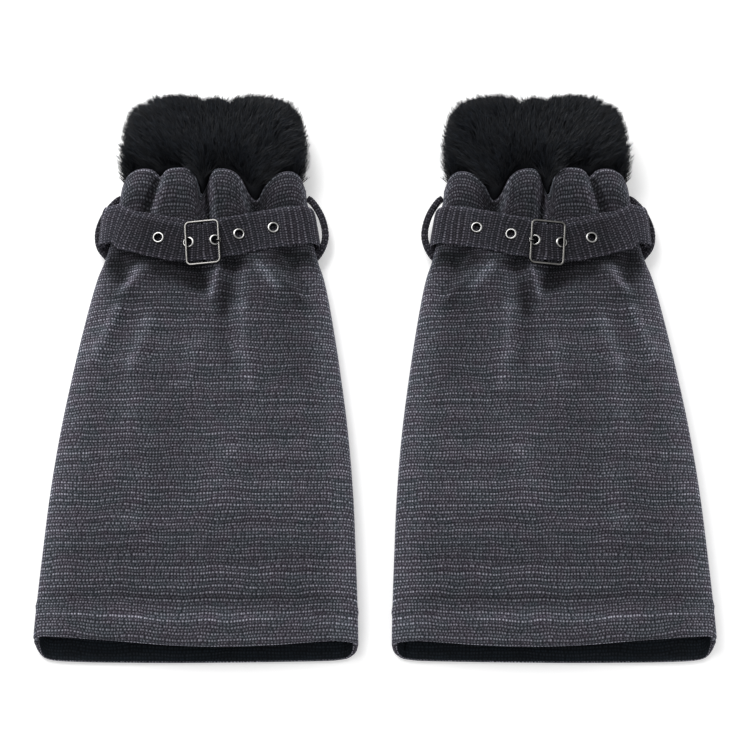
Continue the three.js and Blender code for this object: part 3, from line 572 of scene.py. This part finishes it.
# painted light and shade: line from (x0, y0) to (x1, y1), width, painted highlight (above 0) or painted shade
paintedLightMarks = [
    # painted shade under the belt
    (-86, 90, -62, 92, 10, -0.6), (-76, 84, -70, 66, 9, -0.55), (-60, 88, -20, 80, 6, -0.4),
    (12, 82, 80, 98, 6, -0.4), (-40, 80, -12, 74, 9, -0.6), (-14, 84, -6, 66, 8, -0.5),
    (14, 66, 13, 44, 6, -0.6), (16, 86, 22, 84, 7, -0.6), (60, 92, 82, 90, 9, -0.55),
    (62, 84, 76, 56, 9, -0.5), (-50, 64, 50, 64, 34, -0.18),
    # painted highlights on the ridges of the left side, then in the middle and on the right side, with
    # painted shade beside them
    (-57, 84, -69, 60, 3.2, 0.8), (-71, 46, -86, 4, 2.6, 0.7), (-47, 38, -58, 0, 5, 0.6),
    (-58, 0, -57, -48, 6, 0.25), (-7, 16, -15, -18, 5, 0.3), (7, 84, 2, 58, 2.2, 1.3),
    (25, 80, 29, 10, 4, 0.45), (29, 6, 34, -14, 5, 0.45), (12, 30, 16, 0, 6, -0.25),
    (40, 84, 54, 64, 3.5, 0.9),
    # painted highlight and shade on the low part, and on the hem
    (24, -58, 12, -104, 9, 0.22), (-48, -92, -50, -124, 7, 0.22), (-24, -30, -30, -80, 20, -0.15),
    (60, 40, 70, 0, 18, -0.2), (-100, -150, 104, -152, 9, -0.15), (-112, -195, 112, -200, 4, 0.3),
    (-60, -197, 50, -199, 3, 0.35), (-110, -181, 112, -184, 3.5, -0.28),
    # painted shade in the gathered top and its pleats, painted highlights on their lips
    (-60, 138, 60, 138, 24, -0.5), (-64, 124, 64, 124, 6, -0.25), (-44, 158, -54, 130, 3.2, -0.6),
    (-8, 160, -4, 122, 3, -0.85), (36, 152, 38, 124, 8, -0.5), (-38, 150, -47, 128, 2.4, 0.6),
    (23, 158, 29, 128, 2.2, 0.7),
]


def paintedLightAt(x, y):
    lightAndShade = np.zeros(np.broadcast(x, y).shape)
    for *line, light in paintedLightMarks:
        lightAndShade += light * nearLine(x, y, *line)
    # painted highlight towards the side seams, below the belt
    sides = np.abs(x) / section(y)["halfWidth"]
    lightAndShade += 0.5 * smoothStep(sides, 0.74, 1.0) * (1 - smoothStep(y, 60, 100))
    return np.clip(lightAndShade, -0.8, 1.4)


# stores the painted light and shade on the vertices, for the cloth material
def storeLightAndShade(piece, values):
    layer = piece.data.attributes.new("lightAndShade", "FLOAT", "POINT")
    layer.data.foreach_set("value", np.asarray(values, float).ravel())


def frontGrid():
    low, high = frontPiece["low"], frontPiece["high"]
    base = np.linspace(low, high, frontPiece["rows"])
    angles, arc = [], []
    dense = np.linspace(0, math.pi, 900)
    for y in base:
        length = lengthAlong(upperPoint(np.full(dense.shape, y), dense, 0))
        wanted = np.linspace(0, length[-1], frontPiece["columns"])
        angles.append(np.interp(wanted, length, dense))
        arc.append(length[-1] / 2 - wanted)
    angles, arc = np.array(angles), np.array(arc)
    angles[:, 0], angles[:, -1] = 0, math.pi
    hem = along(frontHemEdge, "x", upperPoint(float(low), angles[0], 0)[:, 0], "y") + cloth["hemRim"]
    top = along(frontTopEdge, "x", upperPoint(float(high), angles[-1], 0)[:, 0], "y") - cloth["rollRadius"]
    hemShare = 1 - smoothStep(base, low, frontPiece["hemTo"])
    topShare = smoothStep(base, frontPiece["edgeFrom"], high)
    y = base[:, None] + hemShare[:, None] * (hem - low) + topShare[:, None] * (top - high)
    x = upperPoint(y, angles, 0)[..., 0]
    fade = 1 - np.abs(x / section(y)["halfWidth"]) ** 8
    hemLine = frontPiece["seamRidge"] * np.exp(-(((y - hem - cloth["hemDepth"]) / 2.2) ** 2))
    lift = (foldRise(x, y, frontFolds) + foldRise(x, y, softCreases)) * fade + hemLine
    flat = upperPoint(y, angles, lift)
    uv = pairsOf(arc, base[:, None])
    # the gathered edge rolls over to the inside, except at the side seams
    rolled, rolledUv = [], []
    free = smoothStep(arc[-1].max() - np.abs(arc[-1]), 0, 14)
    for a in np.radians([14, 28, 42, 56, 70, 82, 92]):
        drop = cloth["rollRadius"] * (1 - math.cos(a))
        p = upperPoint(top, angles[-1], lift[-1] - drop * free)
        p[:, 1] = top + cloth["rollRadius"] * math.sin(a) * free
        rolled.append(p)
        rolledUv.append(uv[-1] + np.array([0, cloth["rollRadius"] * a]))
    points = np.concatenate([flat, np.stack(rolled)])
    points[:, [0, -1], 2] = section(points[:, [0, -1], 1])["seam"] + cloth["seamGap"]
    return points, np.concatenate([uv, np.stack(rolledUv)])


def hemThickness(rows):
    away = rows - rows[0]
    return cloth["thick"] + (cloth["hemThick"] - cloth["thick"]) * (
        1 - smoothStep(away, cloth["hemDepth"] - 1.5, cloth["hemDepth"] + 1))


points, uv = frontGrid()
frontPanel = hemmedWall("left_front", points, uv, hemThickness(uv[:, 0, 1]), [knitCloth, shadedInsideCloth])
# painted light and shade on the outer face of the front panel
lightAndShade = paintedLightAt(points[..., 0], points[..., 1])
# as many rows as hemmedWall makes: two of the rim, the outer face, the inner face, two of the rim
storeLightAndShade(frontPanel, np.concatenate([lightAndShade[:1], lightAndShade[:1], lightAndShade, lightAndShade * 0, lightAndShade[:2] * 0]))
print(f"front panel made, {np.ptp(uv[0, :, 0]):.0f} by {np.ptp(uv[..., 1]):.0f} mm")

# back panel; its columns turn in at both sides, corner columns at each turn
backPiece = {"columns": 90, "corner": 11, "rows": 110, "low": -222, "high": 157, "hemTo": -170}


def backGrid():
    corner, low = backPiece["corner"], backPiece["low"]
    flat = backPiece["columns"] - 2 * corner
    base = np.linspace(low, backPiece["high"], backPiece["rows"])
    turnIn = np.linspace(0, 90, corner)
    turns = np.concatenate([turnIn, np.full(flat, 90.0), turnIn[::-1]])
    reach = np.linspace(0, 1, flat // 2 + 1)[1:]
    inward = np.concatenate([np.zeros(corner), reach, reach[-2::-1], np.zeros(corner + 1)])
    side = np.where(np.arange(len(turns)) < corner + flat // 2, -1, 1)
    x = lowerPoint(-215.0, side, turns, inward, 0)[:, 0]
    hem = along(backHemEdge, "x", x, "y") + cloth["hemRim"]
    hemShare = 1 - smoothStep(base, low, backPiece["hemTo"])
    y = base[:, None] + hemShare[:, None] * (hem - low)
    points = lowerPoint(y, side, turns, inward, 0)
    points[:, [0, -1], 2] -= cloth["seamGap"]
    step = np.linalg.norm(np.diff(points, axis=1), axis=2)
    arc = np.concatenate([np.zeros((len(base), 1)), np.cumsum(step, axis=1)], axis=1)
    arc -= arc[:, -1:] / 2
    return points, pairsOf(arc, base[:, None])


points, uv = backGrid()
backPanel = hemmedWall("left_back", points, uv, hemThickness(uv[:, 0, 1]), [knitCloth, shadedInsideCloth])
print(f"back panel made, {np.ptp(uv[0, :, 0]):.0f} by {np.ptp(uv[..., 1]):.0f} mm")


# belt: one strip from the buckle's bar round the tube and back through the buckle
def beltStrip():
    shares = np.array([-0.5, -0.495, -0.475, -0.44, -0.39, -0.31, -0.16, 0, 0.16, 0.31, 0.39, 0.44, 0.475,
                       0.495, 0.5])
    lift, clear = belt["lift"], belt["sideClear"]
    around = along(beltLine, "x", 100, "y") + shares * belt["width"]
    columns, thick = [], []

    def put(points, depth=belt["thick"]):
        columns.append(points)
        thick.append(depth)

    def turnUnder(side, turns):
        for degrees in turns:
            put(lowerPoint(around, side, degrees, 0, lift + clear * (1 - smoothStep(degrees, 70, 90))))

    # the end that is folded round the bar
    wrap = shares * belt["wrapWidth"]
    radius = buckle["barRadius"] + 0.3 + belt["wrapThick"]
    put(bucklePoint(-2.2, wrap, buckle["barRise"] - radius), belt["wrapThick"])
    for a in np.radians(np.linspace(-90, 100, 14)):
        place = bucklePoint(radius * math.cos(a), wrap, buckle["barRise"] + radius * math.sin(a))
        put(place, belt["wrapThick"])
    for i, x in enumerate(np.concatenate([np.linspace(-9.6, -20, 7), np.linspace(-22, -67, 19)])):
        width = belt["wrapWidth"] + (belt["width"] - belt["wrapWidth"]) * smoothStep(buckle["x"] - x, 4, 13)
        put(strapPoint(x, shares * width, along(endShift, "x", x, "up"), endStrap),
            belt["wrapThick"] if i == 0 else belt["thick"])
    # down the left side, across the back and up the right side
    sideTurn = np.radians(np.linspace(34, 0, 7))
    for a in sideTurn:
        put(upperPoint(around, math.pi - a, lift + clear))
    turnUnder(-1, np.linspace(15, 90, 6))
    for side, steps in ((-1, np.linspace(0, 1, 13)[1:]), (1, np.linspace(1, 0, 13)[1:])):
        for inward in steps:
            put(lowerPoint(around, side, 90, inward, lift))
    turnUnder(1, np.linspace(90, 15, 6)[1:])
    for a in sideTurn[::-1]:
        put(upperPoint(around, a, lift + clear))
    # the long stretch through the buckle, and its end on the left side
    for x in np.concatenate([np.linspace(67, 26, 18), np.linspace(24, -24, 33), np.linspace(-26, -67, 18)]):
        away = smoothStep(abs(x - buckle["x"]), *belt["squeeze"])
        width = belt["inBuckle"] + (belt["width"] - belt["inBuckle"]) * away
        put(strapPoint(x, shares * width, 0, longStrap))
    for a in sideTurn:
        put(upperPoint(around, math.pi - a, 2 * lift + clear))
    for degrees in np.linspace(12, 46, 4):
        put(lowerPoint(around, -1, degrees, 0, 2 * lift + clear))
    outer = np.stack(columns, 1)
    # the belt stands out at both sides, on the left more at its lower edge
    high = smoothStep(outer[..., 2], 9, 20) * (1 - smoothStep(outer[..., 2], 24, 33))
    leftEnd = smoothStep(-outer[..., 0], 72, 82) * high * (5.4 + 1.2 * shares[:, None] * 2)
    rightEnd = smoothStep(outer[..., 0], 70, 80) * high * (2.8 - 0.8 * shares[:, None] * 2)
    outer[..., 0] += rightEnd - leftEnd
    inwards = gridNormals(outer) * np.array(thick)[None, :, None]
    edge = (0.47 * np.abs(2 * shares) ** 9)[:, None, None]
    loops = np.concatenate([outer - inwards * edge, (outer - inwards * (1 - edge))[::-1]])
    length = lengthAlong(outer[7])
    print(f"belt strip {length[-1]:.0f} mm long")
    uv = pairsOf((shares * belt["width"])[:, None], length)
    made = ringMesh("left_strap", loops, np.concatenate([uv, uv[::-1]]), [beltCloth])
    # painted sheen along both edges of the belt and towards the two sides of the tube, and a little painted
    # shade over the rest
    rim = 0.85 * smoothStep(np.abs(2 * shares), 0.74, 1)[:, None]
    ends = 0.75 * smoothStep(-outer[..., 0], 48, 84) + 0.5 * smoothStep(outer[..., 0], 14, 60)
    storeLightAndShade(made, np.tile(rim + ends - 0.2, (2, 1)))
    return made


strap = beltStrip()


def eyeletPlace(x):
    span = 4.0
    right = unit(strapPoint(x + span, 0.0, 0, longStrap) - strapPoint(x - span, 0.0, 0, longStrap))
    up = strapPoint(x, span, 0, longStrap) - strapPoint(x, -span, 0, longStrap)
    out = unit(np.cross(right, up))
    turn = Matrix(np.stack([right, np.cross(out, right), out], 1).tolist()).to_4x4()
    middle = strapPoint(x, 0.0, 0, longStrap) - [setOut["legSpacing"] / 2, setOut["lengthCentre"], 0]
    return Matrix.Translation(Vector((middle * mm).tolist())) @ turn


def cutEyeletHoles(piece):
    for x in belt["eyeletX"]:
        bpy.ops.object.select_all(action="DESELECT")
        bpy.ops.mesh.primitive_cylinder_add(
            vertices=24, radius=belt["holeRadius"] * mm, depth=belt["holeDepth"] * mm)
        cutter = bpy.context.object
        cutter.matrix_world = eyeletPlace(x) @ Matrix.Translation((0, 0, -0.7 * mm))
        bpy.context.view_layer.update()
        cut = piece.modifiers.new("hole", "BOOLEAN")
        cut.operation = "DIFFERENCE"
        cut.solver = "EXACT"
        cut.object = cutter
        bpy.context.view_layer.objects.active = piece
        bpy.ops.object.modifier_apply(modifier="hole")
        bpy.data.objects.remove(cutter, do_unlink=True)


cutEyeletHoles(strap)
print("belt made")


# belt loops: narrow knit cords
loopCord = {
    "radius": 2.5, "flatness": 1.15, "t": [0, 1, 2, 3, 4, 5, 6, 7, 8],
    "y": [149, 146.5, 140.3, 132.7, 122.9, 114.3, 105.7, 98.5, 94.5],
    "inner": [77, 80.3, 84.8, 88.7, 91.4, 91.8, 89.6, 85.6, 81.5],
    "outer": [76, 80, 85.5, 90, 93.2, 93.6, 91.5, 86, 81.5],
    "up": [15, 14.6, 13.8, 13, 12.4, 12, 11.8, 11.5, 11.2],
}


def sweepLoops(path, up, halfWidth, halfDepth, sides, joined=False, square=1):
    # square below 1 makes the round section squarer
    path = np.asarray(path, float)
    ahead = np.roll(path, -1, axis=0) - np.roll(path, 1, axis=0) if joined else np.gradient(path, axis=0)
    ahead = unit(ahead)
    across = unit(np.cross(ahead, up))
    above = np.cross(across, ahead)
    turn = (np.arange(sides) + 0.5) / sides * 2 * math.pi
    c, s = (np.sign(f) * np.abs(f) ** square for f in (np.cos(turn), np.sin(turn)))
    widths, depths = (np.broadcast_to(half, len(path))[None, :, None] for half in (halfWidth, halfDepth))
    loops = path[None] + widths * c[:, None, None] * across[None] + depths * s[:, None, None] * above[None]
    return loops[::-1]


def cordMesh(name, side):
    sides = 16
    t = np.linspace(loopCord["t"][0], loopCord["t"][-1], 52)
    y, x, up = (along(loopCord, "t", t, k) for k in ("y", "inner" if side > 0 else "outer", "up"))
    path = np.stack([side * x, y, up], 1)
    swell = loopCord["radius"] * (1 + 0.04 * np.sin(t * 19))
    loops = sweepLoops(path, [0, 0, 1], swell * loopCord["flatness"], swell, sides)
    around = (np.arange(sides)[::-1] + 0.5) / sides * 2 * math.pi * loopCord["radius"]
    return ringMesh(name, loops, pairsOf(around[:, None], lengthAlong(path)), [beltCloth])


loopOuter = cordMesh("left_loop_outer", -1)
loopInner = cordMesh("left_loop_inner", 1)
print("belt loops made")


# metal: eyelets, buckle frame with its bar, and the pin
eyelet = {"bore": 2.95, "foot": -2.1,
          # radius and height: up the bore, over the flange and down the outside of the barrel
          "steps": [(2.95, 0.5), (3.1, 0.85), (3.5, 1.06), (3.9, 1.08), (4.5, 0.84), (4.95, 0.5),
                    (5.05, 0.36), (3.25, 0.34), (3.2, -2.1)]}


def addEyelet(name, x):
    bpy.ops.object.select_all(action="DESELECT")
    radius, height = eyelet["bore"], eyelet["foot"]
    bpy.ops.mesh.primitive_circle_add(vertices=40, radius=radius * mm, location=(0, 0, height * mm))
    piece = bpy.context.object
    bpy.ops.object.transform_apply(location=True, rotation=True, scale=True)
    bpy.ops.object.mode_set(mode="EDIT")
    bpy.ops.mesh.select_all(action="SELECT")
    for newRadius, newHeight in eyelet["steps"]:
        bpy.ops.mesh.extrude_edges_move(TRANSFORM_OT_translate={"value": (0, 0, (newHeight - height) * mm)})
        ratio = newRadius / radius
        bpy.ops.transform.resize(value=(ratio, ratio, 1), center_override=(0, 0, newHeight * mm))
        radius, height = newRadius, newHeight
    bpy.ops.mesh.select_all(action="DESELECT")
    bpy.ops.mesh.select_mode(type="EDGE")
    bpy.ops.mesh.select_non_manifold()
    bpy.ops.mesh.bridge_edge_loops()
    bpy.ops.mesh.select_all(action="SELECT")
    bpy.ops.mesh.normals_make_consistent(inside=False)
    bpy.ops.object.mode_set(mode="OBJECT")
    bpy.ops.object.shade_smooth_by_angle(angle=math.radians(50))
    piece.data.transform(eyeletPlace(x))
    piece.name = piece.data.name = name
    piece.data.materials.clear()
    piece.data.materials.append(ringMetal)
    return piece


eyelets = [addEyelet(f"left_ring_{i + 1}", x) for i, x in enumerate(belt["eyeletX"])]


def sweep(name, path, up, halfWidth, halfDepth, sides, joined):
    loops = sweepLoops(path, up, halfWidth, halfDepth, sides, joined, 0.7)
    if not joined:
        return ringMesh(name, loops, None, [buckleMetal])
    quads = tubeQuads(*loops.shape[:2], True)
    return meshFrom(name, loops, quads.reshape(-1, 4).tolist(), [buckleMetal])


def joinPieces(first, second):
    bpy.ops.object.select_all(action="DESELECT")
    for piece in (first, second):
        piece.select_set(True)
    bpy.context.view_layer.objects.active = first
    bpy.ops.object.join()
    return first


def addBuckle():
    corner, bar, rise = buckle["corner"], buckle["barHalf"], buckle["barRise"]
    wide, deep = buckle["wireWidth"] / 2, buckle["wireDepth"] / 2
    halfU, halfV = buckle["width"] / 2 - wide, buckle["height"] / 2 - wide
    slope = math.tan(math.radians(buckle["tip"]))
    u, v = [], []
    for quarter, (su, sv) in enumerate([(1, 1), (-1, 1), (-1, -1), (1, -1)]):
        for a in np.radians(np.linspace(0, 90, 9) + 90 * quarter):
            u.append(su * (halfU - corner) + corner * math.cos(a))
            v.append(sv * (halfV - corner) + corner * math.sin(a))
    u, v = np.array(u), np.array(v)
    rim = bucklePoint(u, v, buckle["rise"] + u * slope)
    frameRim = sweep("left_frame", rim, buckleOut, wide, deep, 16, True)
    # the bar lies lower than the frame, and its two ends bend up to it
    half = [(bar - 0.6, rise), (bar + 0.9, rise + 0.5), (bar + 1.9, rise + 2.3),
            (halfV, buckle["rise"] - 0.4)]
    line = np.array([(-v0, h0) for v0, h0 in half[::-1]] + half)
    barPath = bucklePoint(0, line[:, 0], line[:, 1])
    wire = sweep("left_bar", barPath, buckleAlong, buckle["barRadius"], buckle["barRadius"], 12, False)
    return joinPieces(frameRim, wire)


# the pin: its stem along the buckle and above it, and the eye that goes round the bar
pin = {"radius": 0.65, "eyeRadius": 1.85, "side": 0.3, "taperFrom": 6.3,
       "t": np.arange(8), "u": [1.9, 5, 8.2, 9.8, 10.5, 11.3, 12.9, 15],
       "h": [4, 4.4, 4.7, 7, 9.8, 11.9, 12.6, 12.2]}


def addPin():
    fine = np.linspace(0, 7, 36)
    path = bucklePoint(along(pin, "t", fine, "u"), pin["side"], along(pin, "t", fine, "h"))
    radius = pin["radius"] * np.where(fine > pin["taperFrom"], 1 - 0.3 * (fine - pin["taperFrom"]), 1)
    stem = sweep("left_pin", path, buckleAcross, radius, radius, 14, False)
    ring = np.linspace(0, 2 * math.pi, 28, endpoint=False)
    u, h = pin["eyeRadius"] * np.cos(ring), pin["eyeRadius"] * np.sin(ring)
    eye = bucklePoint(u, 0.0, buckle["barRise"] + h)
    return joinPieces(stem, sweep("left_pin_eye", eye, buckleAcross, pin["radius"], pin["radius"], 12, True))


buckleFrame = addBuckle()
pinPiece = addPin()
print("metal made")

# fur cuff: a backing inside the solid's form, and the hair that reaches to it
cuffSections = [
    # y, half width, low, high, how far it follows the gathered edge, how much of an inset narrows
    # it and how much lowers it, how far its two sides droop
    (148, 62, 4.2, 19, 1, 0, 0, 0), (154, 64, 2.8, 19, 1, 0, 0, 0), (159.4, 68, 2.8, 20, 1, 1, 0, 0),
    (160.3, 73, 0.6, 36, 1, 1, 0, 0), (163, 76.5, 0, 41.5, 0.95, 1, 0, 8),
    (170, 77.5, 0, 46.5, 0.8, 1, 0, 8), (181, 77.7, 0, 49.3, 0.4, 1, 0, 0), (194, 77, 0, 50, 0, 1, 0, 0),
    (207, 75, 0, 49, 0, 1, 0, 0), (219, 70.5, 0, 46.5, 0, 1, 0.9, 0), (230, 63, 3, 42, 0, 1, 0.9, 0),
    (238.5, 54, 10, 36, 0, 1, 0.9, 0), (238.5, 46, 18.5, 28, 0, 0, 1, 0), (200, 46, 17.5, 27.5, 0, 0, 0, 0),
    (172, 46, 14.5, 24, 0, 0, 0, 0), (148, 46, 7, 15.8, 0, 0, 0, 0),
]
cuffTopDip = {"x": [-80, -20, -13, -8.7, -4, -1, 4, 10.5, 16, 22, 80],
              "dip": [0, 0, -4, -8, -4, -3, -4, -7.5, -3, 0, -1]}
cuffOutline = {"y": [150, 160, 165, 171, 181, 194, 207, 219, 230, 238.5],
               "halfWidth": [73, 75, 76, 76.2, 76, 74.6, 72.5, 68.5, 61.5, 53]}
fur = {
    "power": 3.6, "edgeFrom": 160, "depth": 7, "hairy": slice(4, 12), "strands": 60000, "length": 13.5,
    "width": 0.34, "spread": 1.3, "stand": 0.6, "seed": 11, "top": 232.6, "high": 49.5, "side": 77.7,
    "swirls": (60, 0.3), "tufts": (2200, 0.22), "scatter": 0.16, "wisp": (-6.8, -1.2),
    "strayShare": 0.14, "strayBeyond": (2.5, 6.2), "strayLonger": 4.5, "strayWider": 1.5,
}


def cuffLoops(inset):
    rows = []
    upper = np.linspace(0.985, -0.985, 60)
    lower = np.linspace(-0.95, 0.95, 24)
    share = np.concatenate([upper, [-1], lower, [1]])
    way = np.concatenate([np.ones(len(upper)), [0], -np.ones(len(lower)), [0]])
    for y, halfWidth, low, high, follow, narrowed, lowered, droop in cuffSections:
        cut = inset * narrowed
        low, high = low + cut * 0.7, high - cut
        x = share * (halfWidth - cut)
        y = y - inset * lowered
        edge = along(frontTopEdge, "x", x, "y") - fur["edgeFrom"]
        dip = along(cuffTopDip, "x", x, "dip") * smoothStep(y, 215, 238)
        yy = y + dip + np.where(way > 0, edge * follow, 0) - droop * smoothStep(np.abs(share), 0.9, 1)
        rise = (high - low) / 2 * (1 - np.abs(share) ** fur["power"]) ** (1 / fur["power"])
        rows.append(np.stack([x, yy, np.maximum((high + low) / 2 + way * rise, 0.2)], 1))
    return np.stack(rows, 1)


def cuffBacking():
    loops = cuffLoops(fur["depth"])
    quads = tubeQuads(*loops.shape[:2], True)[..., [0, 3, 2, 1]]
    return meshFrom("left_fur_backing", loops, quads.reshape(-1, 4).tolist(), [backingFur])


def furHair():
    rng = np.random.default_rng(fur["seed"])
    total = fur["strands"]
    surface = cuffLoops(0)[:, fur["hairy"]]
    deep = cuffLoops(fur["depth"])[:, fur["hairy"]]
    closed = np.concatenate([surface, surface[:1]])
    closedDeep = np.concatenate([deep, deep[:1]])
    normal = unit(np.cross(np.gradient(closed, axis=1), np.gradient(closed, axis=0)), 1e-6)
    a = closed[:-1, :-1]
    area = np.linalg.norm(np.cross(closed[1:, :-1] - a, closed[:-1, 1:] - a), axis=2)
    # fewer hairs underneath
    area = np.where(normal[:-1, :-1, 2] < -0.5, area * 0.4, area).ravel()
    cell = rng.choice(area.size, total, p=area / area.sum())
    ci, cj = np.divmod(cell, surface.shape[1] - 1)
    s, t = rng.random(total)[:, None], rng.random(total)[:, None]

    def at(grid):
        return ((1 - s) * (1 - t) * grid[ci, cj] + s * (1 - t) * grid[ci + 1, cj]
                + (1 - s) * t * grid[ci, cj + 1] + s * t * grid[ci + 1, cj + 1])

    root, out, face = at(closedDeep), at(normal), at(closed)
    out[:, 1] = np.maximum(out[:, 1], -0.05)
    out = unit(out)

    # hairs near one another lean the same way, in small tufts within larger swirls
    def gather(number, size):
        seeds = face[rng.choice(total, number, replace=False)]
        lean = rng.normal(0, 1, (number, 3))
        nearest = np.empty(total, dtype=int)
        for start in range(0, total, 4000):
            part = face[start:start + 4000, None] - seeds[None]
            nearest[start:start + 4000] = np.argmin((part**2).sum(-1), axis=1)
        return lean[nearest] * size, seeds[nearest] - face

    swirl, _ = gather(*fur["swirls"])
    tuft, toTuft = gather(*fur["tufts"])
    comb = np.zeros((total, 3))
    comb[:, 0] = face[:, 0] / 78 * fur["spread"]
    comb[:, 1] = 1.0
    comb += swirl * np.array([1, 0.6, 0.3]) + tuft + rng.normal(0, fur["scatter"], (total, 3))
    comb -= out * (comb * out).sum(1, keepdims=True)
    comb = unit(comb + out * fur["stand"])
    size = fur["length"] * rng.uniform(0.6, 1.05, total)[:, None]
    tip = root + out * fur["depth"] * 0.45 + comb * size + toTuft * 0.8
    # the tips end at the cuff's own outline, a few beyond it
    wisp = np.clip(tuft[:, 2] / fur["tufts"][1], -1.5, 1.8) * 1.7 + rng.uniform(*fur["wisp"], total)
    stray = rng.random(total) < fur["strayShare"]
    wisp += np.where(stray, rng.uniform(*fur["strayBeyond"], total), 0)
    tip[:, :2] += comb[:, :2] * np.where(stray, fur["strayLonger"], 0)[:, None]
    sideways = np.clip(tip[:, 0] / fur["side"], -1, 1)
    topMost = fur["top"] + along(cuffTopDip, "x", tip[:, 0], "dip") - 10 * np.abs(sideways) ** 4 + wisp
    widest = along(cuffOutline, "y", tip[:, 1], "halfWidth") + wisp
    room = np.stack([widest - np.abs(root[:, 0]), topMost - root[:, 1],
                     fur["high"] + wisp * 0.3 - root[:, 2]], 1)
    reach = np.stack([np.abs(tip[:, 0]) - np.abs(root[:, 0]), *(tip - root)[:, 1:].T], 1)
    tip = root + (tip - root) * np.clip(room / np.maximum(reach, 1e-3), 0.3, 1)
    middle = root + (tip - root) * 0.68 + out * rng.uniform(0.4, 2.2, total)[:, None]
    points = np.stack([root, middle, tip], 1)
    points[..., 2] = np.maximum(points[..., 2], 0.3 + rng.random((total, 1)))
    across = unit(np.cross(tip - root, out + rng.normal(0, 0.4, (total, 3))), 1e-6)
    across *= fur["width"] * rng.uniform(0.6, 1.3, total)[:, None] / 2
    across *= np.where(stray, fur["strayWider"], 1)[:, None]
    vertices = np.stack([points[:, 0] - across, points[:, 0] + across, points[:, 1] - across * 0.9,
                         points[:, 1] + across * 0.9, points[:, 2]], 1).reshape(-1, 3)
    base = np.arange(total)[:, None] * 5
    faces = (base + np.array([[0, 1, 3, 2]])).tolist() + (base + np.array([[2, 3, 4]])).tolist()
    # across the uv a lightness for each hair, up it the way from its root to its tip, which the material
    # darkens towards the root as painted shade
    uv = pairsOf(rng.random(total)[:, None] ** 2.5, [0, 0, 0.5, 0.5, 1])
    return meshFrom("left_fur_hair", vertices, faces, [hairFur], uv)


furBacking = cuffBacking()
furStrands = furHair()
print("fur made")

# the right piece is the mirror image of the left one
leftPieces = {
    "front": (frontPanel, "front_panel", "knit"),
    "back": (backPanel, "back_panel", "knit"),
    "strap": (strap, "belt", "belt_knit"),
    "loopOuter": (loopOuter, "belt_loop_outer", "belt_knit"),
    "loopInner": (loopInner, "belt_loop_inner", "belt_knit"),
    "frame": (buckleFrame, "buckle_frame", "metal"),
    "pin": (pinPiece, "buckle_pin", "metal"),
    "backing": (furBacking, "fur_cuff", "fur"),
    "hair": (furStrands, "fur_cuff", "fur"),
    **{f"ring{i + 1}": (ring, f"eyelet_{i + 1}", "metal") for i, ring in enumerate(eyelets)},
}


def mirrored(piece):
    copy = piece.copy()
    copy.data = piece.data.copy()
    copy.name = copy.data.name = piece.name.replace("left_", "right_")
    bpy.context.collection.objects.link(copy)
    copy.data.transform(Matrix.Scale(-1, 4, (1, 0, 0)))
    copy.data.flip_normals()
    return copy


for key, (piece, node, slotName) in leftPieces.items():
    for side, each in (("left", piece), ("right", mirrored(piece))):
        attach(each, "root")
        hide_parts(f"{side}_{node}")

print("pieces placed on the frame")


# studio; each light has its place, size and power
studio = {"floor": 0.93, "glow": 0.25, "world": 0.6,
          "lights": {"key": ((-0.6, 0.8, 1.25), 1.0, 20.0), "fill": ((0.9, -0.6, 1.3), 1.2, 3.0)}}


def addStudio():
    bpy.ops.object.select_all(action="DESELECT")
    bpy.ops.mesh.primitive_plane_add(size=8, location=(0, 0, -0.0003))
    floor = bpy.context.object
    floor.name = "floor"
    pale = newMaterial("paleFloor", {
        "Base Color": (studio["floor"],) * 3 + (1,), "Roughness": 0.9, "Emission Color": (1, 1, 1, 1),
        "Emission Strength": studio["glow"]})
    floor.data.materials.append(pale[0])
    world = bpy.data.worlds.new("studio")
    bpy.context.scene.world = world
    world.use_nodes = True
    setInputs(world.node_tree.nodes["Background"], {"Color": (1, 1, 1, 1), "Strength": studio["world"]})
    bpy.context.scene.view_settings.view_transform = "Standard"
    for name, (place, size, power) in studio["lights"].items():
        bpy.ops.object.light_add(type="AREA", location=place)
        light = bpy.context.object
        light.name = name
        light.data.size = size
        light.data.energy = power
        light.rotation_euler = (Vector((0, 0, 0)) - Vector(place)).to_track_quat("-Z", "Y").to_euler()


addStudio()
print("studio set")
